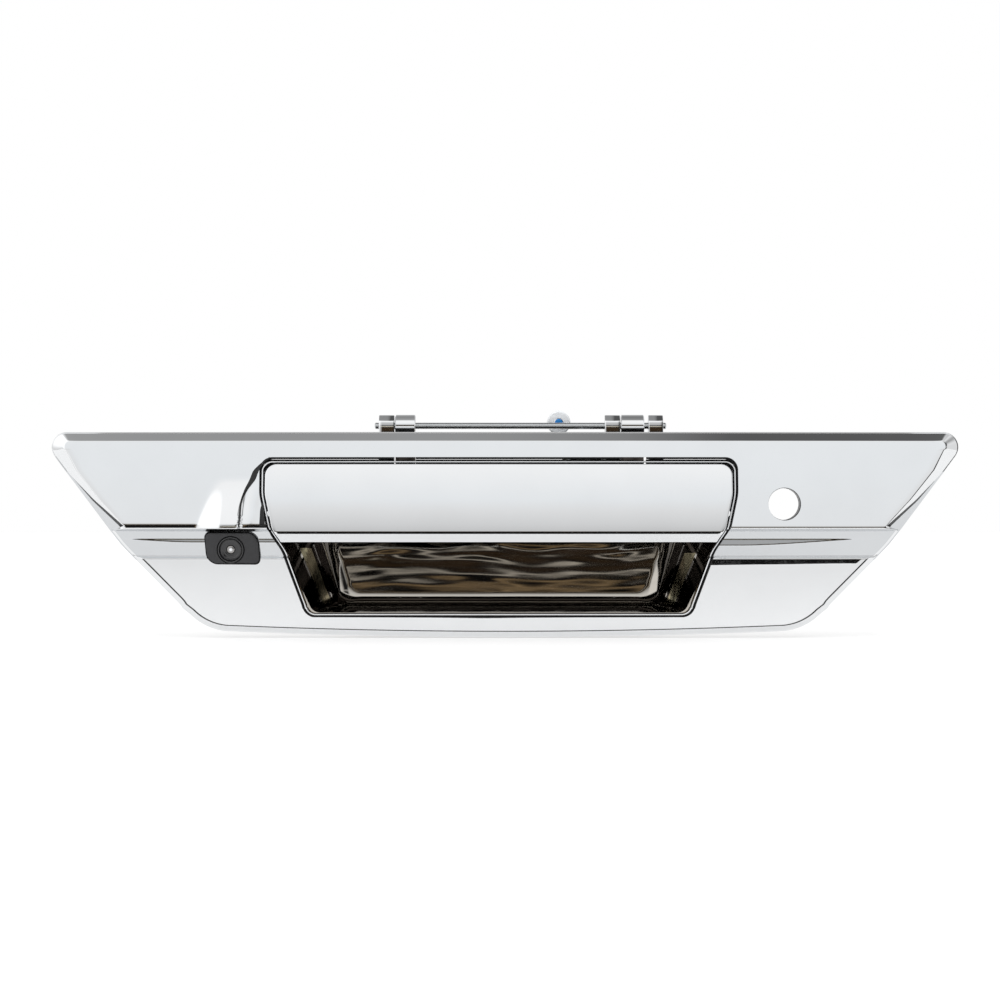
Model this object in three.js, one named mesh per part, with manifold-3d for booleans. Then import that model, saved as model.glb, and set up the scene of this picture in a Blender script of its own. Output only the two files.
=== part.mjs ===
// Pickup tailgate handle with a built-in backup camera.
// Millimetres. +X to the right, +Y into the tailgate, +Z up.
// The plane y = 0 is the back of the gasket, which lies on the tailgate skin.

import * as THREE from 'three';
import { mergeVertices } from 'three/addons/utils/BufferGeometryUtils.js';
import Module from 'manifold-3d';

const wasm = await Module();
wasm.setup();

// ---- driving dimensions -------------------------------------------------

const GAP = 0.4; // between pieces that would touch
const HALF_LENGTH = 250;
const PLAN_BOW = 8; // how far the ends lie behind the middle
const SHELL = 2.6; // bezel wall
const SEAT_Y = -2; // back edge of the bezel
const GASKET_FRONT = -1.7;
const OPEN_X = -3.5; // middle of the handle opening and of the paddle

// front of the bezel at mid-length, from the top crease down: [z, y]
const FACE_PROFILE = [[-0.6, -13], [-48.5, -21.5], [-49.6, -17], [-64, -14.5], [-65, -17.2], [-104.8, -10]];

const PIN = { y: 10, z: 8.1, radius: 1.8, left: -72.4, right: 89.6 };
const BARREL_RADIUS = 6.2;
const EAR_RADIUS = 6.4;
const EARS = [[-70, -61.4], [55.3, 63.9], [79.5, 87.7]];
const BARRELS = [[-61, -49.7], [64.3, 77.2]];

const PADDLE_TOP = -12.7;
const PADDLE_CREASE = -51.6;
const PADDLE_BOTTOM = -55.7;
const SWING_RADIUS = 32.6; // paddle pieces other than the arms stay outside this radius about the pin

const PANEL_FRONT = -6;
const PANEL_BACK = -3.5;
const CUP_TOP = -41;
const CUP_BACK = 30;
const CUP_WALL = 2.4;

const CRANK = { x: 45, z: -11, front: 25, thick: 2.5 };
const UPPER_CLIP = { x: 30.1, z: 10.2 };
const LOWER_CLIP = { x: 56, z: -26.6 };

const CAMERA = { x: -149.7, z: -59.65, face: -15.6, width: 30, height: 17, tilt: 8 };
const LENS = { x: -1.2, z: -0.95 }; // lens axis from the middle of the camera's face
const KEY_HOLE = { x: 153, z: -35.3, radius: 9 };

const STUDS = [[-206, -20], [206, -20], [-160, -86], [160, -86]];
const FRAME_SCREWS = [[-143.5, -24], [134.5, -24], [-128.5, -86], [121.3, -86]];

const CHROME = { color: 0xd8dbde, roughness: 0.07, metalness: 1 };
const STEEL = { color: 0xa9adb0, roughness: 0.35, metalness: 1 };
const ZINC = { color: 0xb8b6aa, roughness: 0.4, metalness: 1 };
const BLACK = { color: 0x1b1c1e, roughness: 0.5, metalness: 0 };
const RUBBER = { color: 0x151515, roughness: 0.85, metalness: 0 };
const NYLON = { color: 0xeceff0, roughness: 0.45, metalness: 0 };
const BLUE = { color: 0x1f7fc4, roughness: 0.4, metalness: 0 };
const BRASS = { color: 0xc9a45a, roughness: 0.3, metalness: 1 };
const GLASS = { color: 0x0b0f1a, roughness: 0.05, metalness: 0 };
const BOARD = { color: 0x14502f, roughness: 0.55, metalness: 0 };

// ---- solids -------------------------------------------------------------

function solid(geometry) {
  const bare = geometry.index ? geometry.clone() : geometry;
  bare.deleteAttribute('normal');
  bare.deleteAttribute('uv');
  const merged = mergeVertices(bare, 1e-4);
  return new wasm.Manifold(new wasm.Mesh({
    numProp: 3,
    vertProperties: Float32Array.from(merged.attributes.position.array),
    triVerts: Uint32Array.from(merged.index.array),
  }));
}

function geometryOf(body) {
  const mesh = body.getMesh();
  const geometry = new THREE.BufferGeometry();
  geometry.setAttribute('position', new THREE.BufferAttribute(Float32Array.from(mesh.vertProperties), 3));
  geometry.setIndex(new THREE.BufferAttribute(Uint32Array.from(mesh.triVerts), 1));
  return geometry;
}

function joined(bodies) {
  return bodies.reduce((whole, body) => whole.add(body));
}

function cut(body, tools) {
  return tools.reduce((rest, tool) => rest.subtract(tool), body);
}

// a skin through sections of equal point counts: a ring of them, or a bar closed by a flat cap at each end
function loft(sections, ring = false) {
  const count = sections[0].length;
  const points = sections.flat();
  const faces = [];
  const spans = ring ? sections.length : sections.length - 1;
  for (let s = 0; s < spans; s += 1) {
    const here = s * count;
    const there = ((s + 1) % sections.length) * count;
    for (let k = 0; k < count; k += 1) {
      const next = (k + 1) % count;
      faces.push([here + k, here + next, there + next], [here + k, there + next, there + k]);
    }
  }
  if (!ring) {
    const last = (sections.length - 1) * count;
    capFaces(sections[0]).forEach(([a, b, c]) => faces.push([c, b, a]));
    capFaces(sections.at(-1)).forEach((face) => faces.push(face.map((corner) => corner + last)));
  }
  if (signedVolume(points, faces) < 0) faces.forEach((face) => face.reverse());
  const geometry = new THREE.BufferGeometry();
  geometry.setAttribute('position', new THREE.BufferAttribute(Float32Array.from(points.flat()), 3));
  geometry.setIndex(faces.flat());
  return solid(geometry);
}

function capFaces(section) {
  const normal = new THREE.Vector3();
  section.forEach((point, k) => {
    const next = section[(k + 1) % section.length];
    normal.add(new THREE.Vector3(...point).cross(new THREE.Vector3(...next)));
  });
  const turn = new THREE.Quaternion().setFromUnitVectors(normal.normalize(), new THREE.Vector3(0, 0, 1));
  const flat = section.map((point) => {
    const turned = new THREE.Vector3(...point).applyQuaternion(turn);
    return new THREE.Vector2(turned.x, turned.y);
  });
  return THREE.ShapeUtils.triangulateShape(flat, []);
}

function signedVolume(points, faces) {
  return faces.reduce((sum, [a, b, c]) => {
    const corner = new THREE.Vector3(...points[b]).cross(new THREE.Vector3(...points[c]));
    return sum + corner.dot(new THREE.Vector3(...points[a])) / 6;
  }, 0);
}

function box(x0, x1, y0, y1, z0, z1) {
  const geometry = new THREE.BoxGeometry(x1 - x0, y1 - y0, z1 - z0);
  geometry.translate((x0 + x1) / 2, (y0 + y1) / 2, (z0 + z1) / 2);
  return solid(geometry);
}

function rodX(x0, x1, y, z, radius, sides = 24) {
  const geometry = new THREE.CylinderGeometry(radius, radius, x1 - x0, sides);
  geometry.rotateZ(Math.PI / 2);
  geometry.translate((x0 + x1) / 2, y, z);
  return solid(geometry);
}

function rodY(x, z, y0, y1, radius, sides = 24) {
  const geometry = new THREE.CylinderGeometry(radius, radius, y1 - y0, sides);
  geometry.translate(x, (y0 + y1) / 2, z);
  return solid(geometry);
}

// a turned piece about an axis along Y: profile [radius, y]
function turned(x, z, profile, sides = 24) {
  const points = [...profile, profile[0]].map(([radius, y]) => new THREE.Vector2(radius, y));
  const geometry = new THREE.LatheGeometry(points, sides);
  geometry.translate(x, 0, z);
  return outward(geometry);
}

function outward(geometry) {
  const body = solid(geometry);
  if (body.volume() > 0) return body;
  const flipped = geometry.clone();
  const order = Array.from(geometry.index.array);
  for (let k = 0; k < order.length; k += 3) [order[k], order[k + 1]] = [order[k + 1], order[k]];
  flipped.setIndex(order);
  return solid(flipped);
}

// a plate with an outline [x, z] and a thickness along Y
function plateY(outline, y0, y1) {
  return loft([y0, y1].map((y) => outline.map(([x, z]) => [x, y, z])));
}

// a plate with an outline [y, z] and a thickness along X
function plateX(outline, x0, x1) {
  return loft([x0, x1].map((x) => outline.map(([y, z]) => [x, y, z])));
}

function arc(cx, cz, radius, from, to, steps) {
  return Array.from({ length: steps + 1 }, (_, k) => {
    const angle = THREE.MathUtils.degToRad(from + ((to - from) * k) / steps);
    return [cx + radius * Math.cos(angle), cz + radius * Math.sin(angle)];
  });
}

function between(a, b, t) {
  return a + (b - a) * t;
}

function along(table, value) {
  const k = table.findIndex((row, n) => n > 0 && value >= row[0]);
  if (k < 0) return table[table.length - 1][1];
  const [a, b] = [table[k - 1], table[k]];
  return value >= a[0] ? a[1] : between(a[1], b[1], (value - a[0]) / (b[0] - a[0]));
}

// ---- outlines shared by the bezel, the frame and the gasket ---------------

const SIDE_STOPS = [-16.6, -23, -30, -36, -42, -48.5, -49.6, -54, -57.8, -61, -64, -65, -71, -78, -85, -92.8];
const TOP_STEPS = 9;
const CORNER_STEPS = 5;

// half of an outline, from the middle of the top clockwise to the middle of the bottom:
// top run, top corner, slanted side through two lines, lower corner, bowed bottom
function halfOutline({ top, corner, side, lower, bottom, bowUp }) {
  const points = [];
  for (let k = 0; k < TOP_STEPS; k += 1) points.push([(corner.x * k) / TOP_STEPS, top]);
  points.push(...arc(corner.x, corner.z, corner.r, 90, corner.end, CORNER_STEPS));
  SIDE_STOPS.forEach((z) => points.push([along(side, z), z]));
  points.push(...arc(lower.x, lower.z, lower.r, lower.start, -90, CORNER_STEPS));
  for (let k = TOP_STEPS - 1; k >= 0; k -= 1) {
    const x = (lower.x * k) / TOP_STEPS;
    points.push([x, bottom + bowUp * (x / lower.x) ** 2]);
  }
  return points;
}

function fullOutline(shape) {
  const right = halfOutline(shape);
  const left = right.slice(1, -1).reverse().map(([x, z]) => [-x, z]);
  return [...right, ...left].map(([x, z]) => [x + (shape.x ?? 0), z]);
}

function outerShape(inset) {
  return {
    top: 4.3 - inset,
    corner: { x: 242, z: -4, r: 8.3 - inset, end: -37.7 },
    side: [[-9, 248.7 - inset * 1.27], [-57.8, 211 - inset * 1.3], [-92.8, 177 - inset * 1.4]],
    lower: { x: 151, z: -73.5, r: 32 - inset, start: -44.2 },
    bottom: -108.6 + inset,
    bowUp: 3.1,
  };
}

const RIM_SHAPE = {
  top: -0.6,
  corner: { x: 240.2, z: -3.6, r: 3, end: -37.7 },
  side: [[-5.4, 242.6], [-52, 207], [-60, 203.5], [-64, 204.5], [-92.8, 172.5]],
  lower: { x: 150, z: -73.6, r: 28.5, start: -44.2 },
  bottom: -104.8,
  bowUp: 2.7,
};

const OPENING_SIDE = [[-16.6, 131], [-30, 131], [-49, 126.8], [-61, 118.6], [-92.8, 107.2]];

function openingShape(inset) {
  return {
    x: OPEN_X,
    top: -9.6 - inset,
    corner: { x: 124, z: -16.6, r: 7 - inset, end: 0 },
    side: OPENING_SIDE.map(([z, half]) => [z, half - inset]),
    lower: { x: 100.6, z: -90.5, r: 7 - inset, start: -19.6 },
    bottom: -97.5 + inset,
    bowUp: 0,
  };
}

function bow(x) {
  return PLAN_BOW * (x / HALF_LENGTH) ** 2;
}

function faceY(x, z) {
  return along(FACE_PROFILE, z) + bow(x);
}

// ---- camera placing -------------------------------------------------------

const cameraTurn = new THREE.Matrix4()
  .makeTranslation(CAMERA.x, CAMERA.face, CAMERA.z)
  .multiply(new THREE.Matrix4().makeRotationX(THREE.MathUtils.degToRad(CAMERA.tilt)));

// camera pieces are made with the face's middle at the origin, then tilted down and put in place
function inCamera(body) {
  return body.transform(cameraTurn.toArray());
}

// face outline: the two corners on one diagonal are rounder than the others
function cameraOutline(inset) {
  const w = CAMERA.width / 2 - inset;
  const h = CAMERA.height / 2 - inset;
  const soft = 4.6 - inset / 2;
  const tight = 2.6 - inset / 2;
  return [
    ...arc(w - soft, h - soft, soft, 90, 0, 4),
    ...arc(w - tight, -h + tight, tight, 0, -90, 3),
    ...arc(-w + soft, -h + soft, soft, -90, -180, 4),
    ...arc(-w + tight, h - tight, tight, 180, 90, 3),
  ];
}

// ---- bezel ------------------------------------------------------------------

function bezelSections() {
  const outer = fullOutline(outerShape(0));
  const inside = fullOutline(outerShape(2.4));
  const rim = fullOutline(RIM_SHAPE);
  const rimInside = fullOutline({ ...RIM_SHAPE, top: -2.6, bottom: -102.8 });
  const opening = fullOutline(openingShape(0));
  const steps = [0.33, 0.67];
  return outer.map(([x, z], k) => {
    const [rx, rz] = rim[k];
    const [ix, iz] = opening[k];
    const [nx, nz] = rimInside[k];
    const inward = (t) => [between(rx, ix, t), between(rz, iz, t)];
    const front = (px, pz) => [px, faceY(px, pz), pz];
    const back = (px, pz) => [px, faceY(px, pz) + SHELL, pz];
    const side = Math.min(faceY(rx, rz) + 10, SEAT_Y - 1.2);
    return [
      [x, SEAT_Y, z],
      [x, side, z],
      front(rx, rz),
      ...steps.map((t) => front(...inward(t))),
      front(ix, iz),
      back(ix, iz),
      ...[...steps].reverse().map((t) => back(...inward(t))),
      [nx * 0.992, Math.min(faceY(nx, nz) + SHELL + 0.6, SEAT_Y - 0.9), nz],
      [inside[k][0], SEAT_Y, inside[k][1]],
    ];
  });
}

// raised hood over the camera: a ramp that grows downwards and ends above the camera
function cameraHood() {
  const rows = [
    [-22, 0.2, -163, -138], [-30, 1.9, -165, -141], [-40, 3.6, -168.5, -144], [-48.6, 4.6, -171, -144.5],
  ];
  return loft(rows.map(([z, rise, left, right]) => {
    const points = [[left, -1.5], [left + 5, rise], [right - 4, rise], [right, -1.5]];
    const face = points.map(([x, up]) => [x, faceY(x, z) - up, z]);
    return [...face, [right, faceY(right, z) + 2.4, z], [left, faceY(left, z) + 2.4, z]];
  }));
}

function studPad([x, z]) {
  return rodY(x, z, faceY(x, z) + 1.2, -0.3, 7, 20);
}

function bezel() {
  const shell = loft(bezelSections(), true);
  const screwBosses = FRAME_SCREWS.map(([x, z]) => rodY(x, z, faceY(x, z) + 1.2, PANEL_FRONT - 0.4, 4.2, 16));
  const keyFace = faceY(KEY_HOLE.x, KEY_HOLE.z);
  const keyTube = rodY(KEY_HOLE.x, KEY_HOLE.z, keyFace + 1, -4, KEY_HOLE.radius + 1.6, 36);
  const pocket = inCamera(plateY(cameraOutline(-0.5), -10, 14));
  const solidPart = joined([shell, cameraHood(), keyTube, ...screwBosses, ...STUDS.map(studPad)]);
  return cut(solidPart, [
    pocket,
    rodY(KEY_HOLE.x, KEY_HOLE.z, -40, 5, KEY_HOLE.radius, 36),
    ...FRAME_SCREWS.map(([x, z]) => rodY(x, z, faceY(x, z) + 3.4, 0, 1.6, 12)),
    ...STUDS.map(([x, z]) => rodY(x, z, faceY(x, z) + 4, 1, 3.4, 16)),
  ]);
}

// ---- gasket -------------------------------------------------------------------

function gasket() {
  const outer = fullOutline(outerShape(0.5));
  const inner = fullOutline(outerShape(8.2));
  return loft(outer.map(([x, z], k) => {
    const [ix, iz] = inner[k];
    return [[x, GASKET_FRONT, z], [x, 0, z], [ix, 0, iz], [ix, GASKET_FRONT, iz]];
  }), true);
}

// ---- handle frame: bead, panel, hand cup, ears ------------------------------------

function beadRing() {
  const outer = fullOutline(openingShape(GAP));
  const inner = fullOutline(openingShape(2.2));
  return loft(outer.map(([x, z], k) => {
    const [ix, iz] = inner[k];
    const front = faceY(x, z);
    const ridge = [between(x, ix, 0.5), front - 0.9, between(z, iz, 0.5)];
    return [[x, PANEL_BACK, z], [x, front, z], ridge, [ix, front, iz], [ix, PANEL_BACK, iz]];
  }), true);
}

function cupSection(y, { top, bottom, halfTop, halfBottom, radius }) {
  const slope = THREE.MathUtils.radToDeg(Math.atan2(halfTop - halfBottom, top - bottom));
  const lower = arc(halfBottom - radius, bottom + radius, radius, -slope, -90, 4);
  const upper = arc(halfTop - radius, top - radius, radius, 90, -slope, 3);
  const right = [...upper, ...lower];
  const left = [...right].reverse().map(([x, z]) => [-x, z]);
  return [...right, ...left].map(([x, z]) => [x + OPEN_X, y, z]);
}

function grown({ top, bottom, halfTop, halfBottom, radius }, grow) {
  return {
    top: top + grow,
    bottom: bottom - grow,
    halfTop: halfTop + grow,
    halfBottom: halfBottom + grow,
    radius: radius + grow,
  };
}

function cupBody(grow, front, back) {
  const mouth = { top: CUP_TOP, bottom: -95.1, halfTop: 125, halfBottom: 104.5, radius: 6 };
  const floor = { top: CUP_TOP - 2, bottom: -86, halfTop: 97, halfBottom: 89, radius: 9 };
  return loft([cupSection(front, grown(mouth, grow)), cupSection(back, grown(floor, grow))]);
}

function ear([x0, x1]) {
  const outline = [
    [-5, -13.5], [2.6, -7.5], [3.6, 0], ...arc(PIN.y, PIN.z, EAR_RADIUS, 190, -10, 10),
    [16.2, -2], [9, -30], [6, -36], [-5, -36],
  ];
  return plateX(outline, x0, x1);
}

function panelTabs() {
  return FRAME_SCREWS.map(([x, z]) => {
    const towards = x < OPEN_X ? 1 : -1;
    const inner = x + towards * 14;
    const outer = x - towards * 5;
    return box(Math.min(outer, inner), Math.max(outer, inner), -5.8, PANEL_BACK, z - 5, z + 5);
  });
}

function handleFrame() {
  const rightEdge = [[130.4, -10.6], [130.4, -30], [127.6, -42.6]];
  const leftEdge = [...rightEdge].reverse().map(([x, z]) => [-x, z]);
  const panelOutline = [...rightEdge, ...leftEdge].map(([x, z]) => [x + OPEN_X, z]);
  const panel = plateY(panelOutline, PANEL_FRONT, PANEL_BACK);
  const crankBoss = rodY(CRANK.x, CRANK.z - 1.5, PANEL_BACK - 1, CRANK.front - 1.2, 5.6, 20);
  const cup = cupBody(CUP_WALL, PANEL_FRONT, CUP_BACK + CUP_WALL);
  const whole = joined([beadRing(), panel, cup, ...EARS.map(ear), crankBoss, ...panelTabs()]);
  const armSlots = BARRELS.map(([x0, x1]) => box(x0 - 1.3, x1 + 1.3, -14, 1.5, -38.2, -8.5));
  const belowRecess = cupBody(0, PANEL_FRONT - 1.5, CUP_BACK);
  return cut(whole, [
    belowRecess,
    ...armSlots,
    rodX(PIN.left - 5, PIN.right + 5, PIN.y, PIN.z, PIN.radius + 0.3, 24),
    rodY(CRANK.x, CRANK.z, 8, 40, 2.1, 12),
    ...FRAME_SCREWS.map(([x, z]) => rodY(x, z, -8, 0, 1.9, 12)),
  ]);
}

// ---- paddle --------------------------------------------------------------------------

const PADDLE_SIDE = [[PADDLE_TOP, 128.1], [-30, 128.1], [-49, 124], [PADDLE_BOTTOM, 119.3]];
const PADDLE_FACE = [
  [PADDLE_TOP, -17], [-22, -19.4], [-34, -22.05], [-44, -23.95],
  [PADDLE_CREASE, -25.2], [PADDLE_BOTTOM, -21.8],
];

function paddleHalf(z) {
  const corner = 6;
  const down = PADDLE_TOP - z;
  const round = down < corner ? corner - Math.sqrt(corner ** 2 - (corner - down) ** 2) : 0;
  return along(PADDLE_SIDE, z) - round;
}

// a slice of the paddle at one height: its front lies `front` behind the face,
// and its back either `wall` behind that or at the fixed depth `back`
function paddleSlice(z, { inset, front, back, wall }) {
  const half = paddleHalf(z) - inset;
  const xs = Array.from({ length: 13 }, (_, k) => OPEN_X + half * (k / 6 - 1));
  const faceAt = along(PADDLE_FACE, z) + front;
  const backAt = wall ? faceAt + wall : back;
  const rear = [...xs].reverse().map((x) => [x, backAt + bow(x), z]);
  return [...xs.map((x) => [x, faceAt + bow(x), z]), ...rear];
}

function paddleSolid(stops, shape) {
  return loft(stops.map((z) => paddleSlice(z, shape)));
}

function swingTool() {
  return rodX(-150, 145, PIN.y, PIN.z, SWING_RADIUS, 64);
}

function paddleCover() {
  const roundTop = [PADDLE_TOP - 0.05, -13.6, -15.4, -18.7];
  const stops = [...roundTop, -22, -30, -38, -44, -49, PADDLE_CREASE, PADDLE_BOTTOM];
  const outer = paddleSolid(stops, { inset: 0, front: 0, back: -14.2 });
  const innerStops = [-14.9, -18.7, -22, -30, -38, -44, -49, -51.2, -53.6];
  const hollow = paddleSolid(innerStops, { inset: 2.2, front: 2.1, back: 0 });
  return cut(outer, [hollow, swingTool()]);
}

function paddleArm([x0, x1], reach) {
  const outline = [
    [9, 4], [9.1, -8], [4, -16], [1.2, -20], [1, -24.4], [reach, -24.6], [reach - 2.4, -36.4],
    [5, -36.4], [9.5, -29], [15.4, -8], [16, 4],
  ];
  return plateX(outline, x0, x1);
}

function paddleInner() {
  const stops = [-15.3, -18.7, -22, -30, -38, -44, -49, -50.8, -53.2];
  const plate = paddleSolid(stops, { inset: 2.6, front: 2.5, wall: 2.4 });
  const barrels = BARRELS.map(([x0, x1]) => rodX(x0, x1, PIN.y, PIN.z, BARREL_RADIUS, 28));
  const arms = BARRELS.map(([x0, x1]) => paddleArm([x0 + 0.6, x1 - 0.6], -16.5));
  const pads = BARRELS.map(([x0, x1]) => box(x0 - 3, x1 + 3, -16.5, -14, -36, -24.6));
  const finger = box(64.9, 69.6, 11, CRANK.front + CRANK.thick + 3.5, PIN.z - 3, PIN.z + 3);
  const body = joined([cut(plate, [swingTool()]), ...pads, ...arms, ...barrels, finger]);
  return cut(body, [rodX(PIN.left - 5, PIN.right + 5, PIN.y, PIN.z, PIN.radius + 0.25, 24)]);
}

function bumper(x) {
  const foot = PANEL_FRONT - 0.3;
  const tip = -12.3 + bow(x);
  return turned(x, -27, [[0, foot], [4, foot], [4, -9.5], [3, tip], [0, tip]], 16);
}

function hingePin() {
  const length = PIN.right - PIN.left;
  const bevel = 0.4;
  const thin = PIN.radius - bevel;
  const start = [[0, 0], [thin, 0], [PIN.radius, bevel]];
  const end = [[PIN.radius, length - bevel], [thin, length], [0, length], [0, 0]];
  const geometry = new THREE.LatheGeometry([...start, ...end].map(([r, h]) => new THREE.Vector2(r, h)), 20);
  geometry.rotateZ(-Math.PI / 2);
  geometry.translate(PIN.left, PIN.y, PIN.z);
  return outward(geometry);
}

// ---- release crank ------------------------------------------------------------------------

function releaseCrank() {
  const y0 = CRANK.front;
  const y1 = CRANK.front + CRANK.thick;
  const hub = rodY(CRANK.x, CRANK.z, y0, y1, 10, 28);
  const pushArm = plateY([[46, -20], [71.5, -4], [71.5, 4.4], [62.5, 4.4], [40, -3]], y0, y1);
  const upperArm = plateY([[36, -15], [26.1, -3], [26.1, 10.2], [34.1, 10.2], [34.1, 2], [50, -3]], y0, y1);
  const lowerArm = plateY([[39, -17], [52, -27], [60, -26], [53, -12]], y0, y1);
  const upperEye = rodY(UPPER_CLIP.x, UPPER_CLIP.z, y0, y1, 5.4, 20);
  const lowerEye = rodY(LOWER_CLIP.x, LOWER_CLIP.z, y0, y1, 5.6, 20);
  return cut(joined([hub, pushArm, upperArm, lowerArm, upperEye, lowerEye]), [
    rodY(CRANK.x, CRANK.z, 0, 60, 4.6, 20),
    rodY(UPPER_CLIP.x, UPPER_CLIP.z, 0, 60, 3.1, 16),
    rodY(LOWER_CLIP.x, LOWER_CLIP.z, 0, 60, 3.1, 16),
  ]);
}

function crankBush() {
  const y0 = CRANK.front - 0.4;
  const y1 = CRANK.front + CRANK.thick + 0.8;
  return turned(CRANK.x, CRANK.z, [[2.4, y0], [4.3, y0], [4.3, y1], [2.4, y1]], 20);
}

function crankWasher() {
  const y0 = CRANK.front + CRANK.thick + 1.1;
  return turned(CRANK.x, CRANK.z, [[2.4, y0], [7.5, y0], [7.5, y0 + 1.2], [2.4, y0 + 1.2]], 24);
}

function screw(x, z, headAt, shankEnd, shank, head, headHeight) {
  const away = Math.sign(headAt - shankEnd);
  const top = headAt + away * headHeight;
  const body = turned(x, z, [
    [0, shankEnd], [shank - 0.4, shankEnd], [shank, shankEnd + away * 0.8], [shank, headAt], [head, headAt],
    [head, headAt + away * headHeight * 0.6], [head * 0.7, top], [0, top],
  ], 16);
  const slot = 0.55;
  const reach = head * 0.55;
  const [low, high] = [top - away * headHeight * 0.5, top + away].sort((a, b) => a - b);
  const cross = [[slot, reach], [reach, slot]].map(([w, h]) => box(x - w, x + w, low, high, z - h, z + h));
  return cut(body, cross);
}

class CoilCurve extends THREE.Curve {
  constructor(turns, radius, y0, y1) {
    super();
    Object.assign(this, { turns, radius, y0, y1 });
  }

  getPoint(t) {
    const angle = t * this.turns * 2 * Math.PI;
    const [across, up] = [this.radius * Math.cos(angle), this.radius * Math.sin(angle)];
    return new THREE.Vector3(CRANK.x + across, between(this.y0, this.y1, t), CRANK.z + up);
  }
}

function crankSpring() {
  const wire = new THREE.Shape();
  wire.absarc(0, 0, 0.7, 0, 2 * Math.PI);
  const curve = new CoilCurve(4.5, 9.2, 13.5, 22.6);
  return outward(new THREE.ExtrudeGeometry(wire, { steps: 80, curveSegments: 4, extrudePath: curve }));
}

function rodClip({ x, z }) {
  const front = CRANK.front - 4.4;
  const plateBack = CRANK.front + CRANK.thick;
  return turned(x, z, [
    [2.5, front], [6.2, front], [6.6, front + 0.5], [6.6, CRANK.front - 0.4], [2.8, CRANK.front - 0.4],
    [2.8, plateBack + 0.4], [4.2, plateBack + 0.4], [3.4, plateBack + 3], [2.5, plateBack + 3],
  ], 24);
}

function clipLock({ x, z }) {
  const front = CRANK.front - 5;
  return turned(x, z, [[0, front], [1.9, front], [2.2, front + 0.4], [2.2, 30], [0, 30]], 20);
}

// ---- camera --------------------------------------------------------------------------------

function lensPiece(profile, sides = 28) {
  return inCamera(turned(LENS.x, LENS.z, profile, sides));
}

function cameraFrontHousing() {
  const shell = plateY(cameraOutline(0), 0, 9);
  const hollow = plateY(cameraOutline(1.8), 2.2, 10);
  const body = cut(shell, [hollow, rodY(LENS.x, LENS.z, -2, 4, 7.5, 32)]);
  return inCamera(body);
}

function cameraRearHousing() {
  const shell = plateY(cameraOutline(0.3), 10.1, 21);
  const hollow = plateY(cameraOutline(2), 9, 19);
  const socket = rodY(GLAND_X, 0, 18, 22, 2.9, 16);
  return inCamera(cut(shell, [hollow, socket]));
}

function cameraSeal() {
  const ring = plateY(cameraOutline(0.2), 9.3, 9.8);
  return inCamera(cut(ring, [plateY(cameraOutline(1.7), 9, 10.5)]));
}

const lensRing = () => lensPiece([[6.3, -0.5], [7.0, -0.5], [7.2, -0.2], [7.2, 2.1], [6.3, 2.1]]);
const lensGlass = () => lensPiece([[0, -1.2], [3, -0.9], [5.2, 0.1], [6, 1], [6, 1.8], [0, 1.8]]);
const innerLens = () => lensPiece([[0, 2.2], [2.4, 2.2], [2.4, 4], [0, 4]], 20);
const lensBarrel = () => lensPiece([[2.7, 2.4], [5.2, 2.4], [5.2, 12], [4.6, 12.8], [2.7, 12.8]]);
const sensorBoard = () => inCamera(box(-11.4, 11.4, 15.2, 16.4, -5, 5));
const imageSensor = () => inCamera(box(LENS.x - 3, LENS.x + 3, 13.2, 14.9, LENS.z - 2.6, LENS.z + 2.6));
const GLAND_X = -8.4; // cord outlet from the middle of the camera's back

function cableGland() {
  const profile = [[1.6, 19.4], [2.6, 19.4], [2.6, 21.3], [3.6, 21.6], [3.2, 25], [1.6, 25]];
  return inCamera(turned(GLAND_X, 0, profile, 16));
}

// strap across the back of the camera, screwed to two posts behind the bezel face
const BRACKET_SCREWS = [[-19.5, -1], [19.5, -1]];

function cameraBracket() {
  const strap = box(-23, 23, 21.4, 23, -5, 4);
  const window = rodY(GLAND_X, 0, 20, 24, 4.4, 20);
  return inCamera(cut(strap, [window, ...BRACKET_SCREWS.map(([x, z]) => rodY(x, z, 20, 24, 1.7, 12))]));
}

function bracketPosts() {
  return BRACKET_SCREWS.map(([x, z]) => {
    const post = rodY(x, z, 0, 21, 3, 14);
    return inCamera(cut(post, [rodY(x, z, 8, 22, 1.6, 12)]));
  });
}

function cameraScrew([x, z]) {
  return inCamera(screw(x, z, 23.3, 12, 1.3, 2.7, 1.8));
}

// ---- assembly ----------------------------------------------------------------------------------

const assembly = new THREE.Group();

function place(name, body, look) {
  const mesh = new THREE.Mesh(geometryOf(body), new THREE.MeshStandardMaterial(look));
  mesh.name = name;
  assembly.add(mesh);
}

place('bezel', joined([bezel(), ...bracketPosts()]), CHROME);
place('handle_frame', handleFrame(), CHROME);
place('panel_gasket', gasket(), RUBBER);
place('paddle_cover', paddleCover(), CHROME);
place('paddle_inner', paddleInner(), CHROME);
place('hinge_pin', hingePin(), STEEL);
place('paddle_bumper_left', bumper(-104), RUBBER);
place('paddle_bumper_right', bumper(98), RUBBER);
FRAME_SCREWS.forEach(([x, z], k) => {
  const tip = Math.max(faceY(x, z) + 3.8, -11);
  place(`frame_screw_${k + 1}`, screw(x, z, PANEL_BACK + 0.3, tip, 1.3, 3.4, 2.2), ZINC);
});
STUDS.forEach(([x, z], k) => {
  const root = faceY(x, z) + 4.4;
  const profile = [[0, root], [3, root], [3, 17], [2.4, 18], [0, 18]];
  place(`mounting_stud_${k + 1}`, turned(x, z, profile, 18), ZINC);
});
place('release_crank', releaseCrank(), ZINC);
place('crank_bush', crankBush(), BRASS);
place('crank_washer', crankWasher(), ZINC);
place('crank_screw', screw(CRANK.x, CRANK.z, CRANK.front + CRANK.thick + 2.7, 10, 1.8, 4.6, 2.8), ZINC);
place('crank_spring', crankSpring(), STEEL);
place('upper_rod_clip', rodClip(UPPER_CLIP), NYLON);
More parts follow.
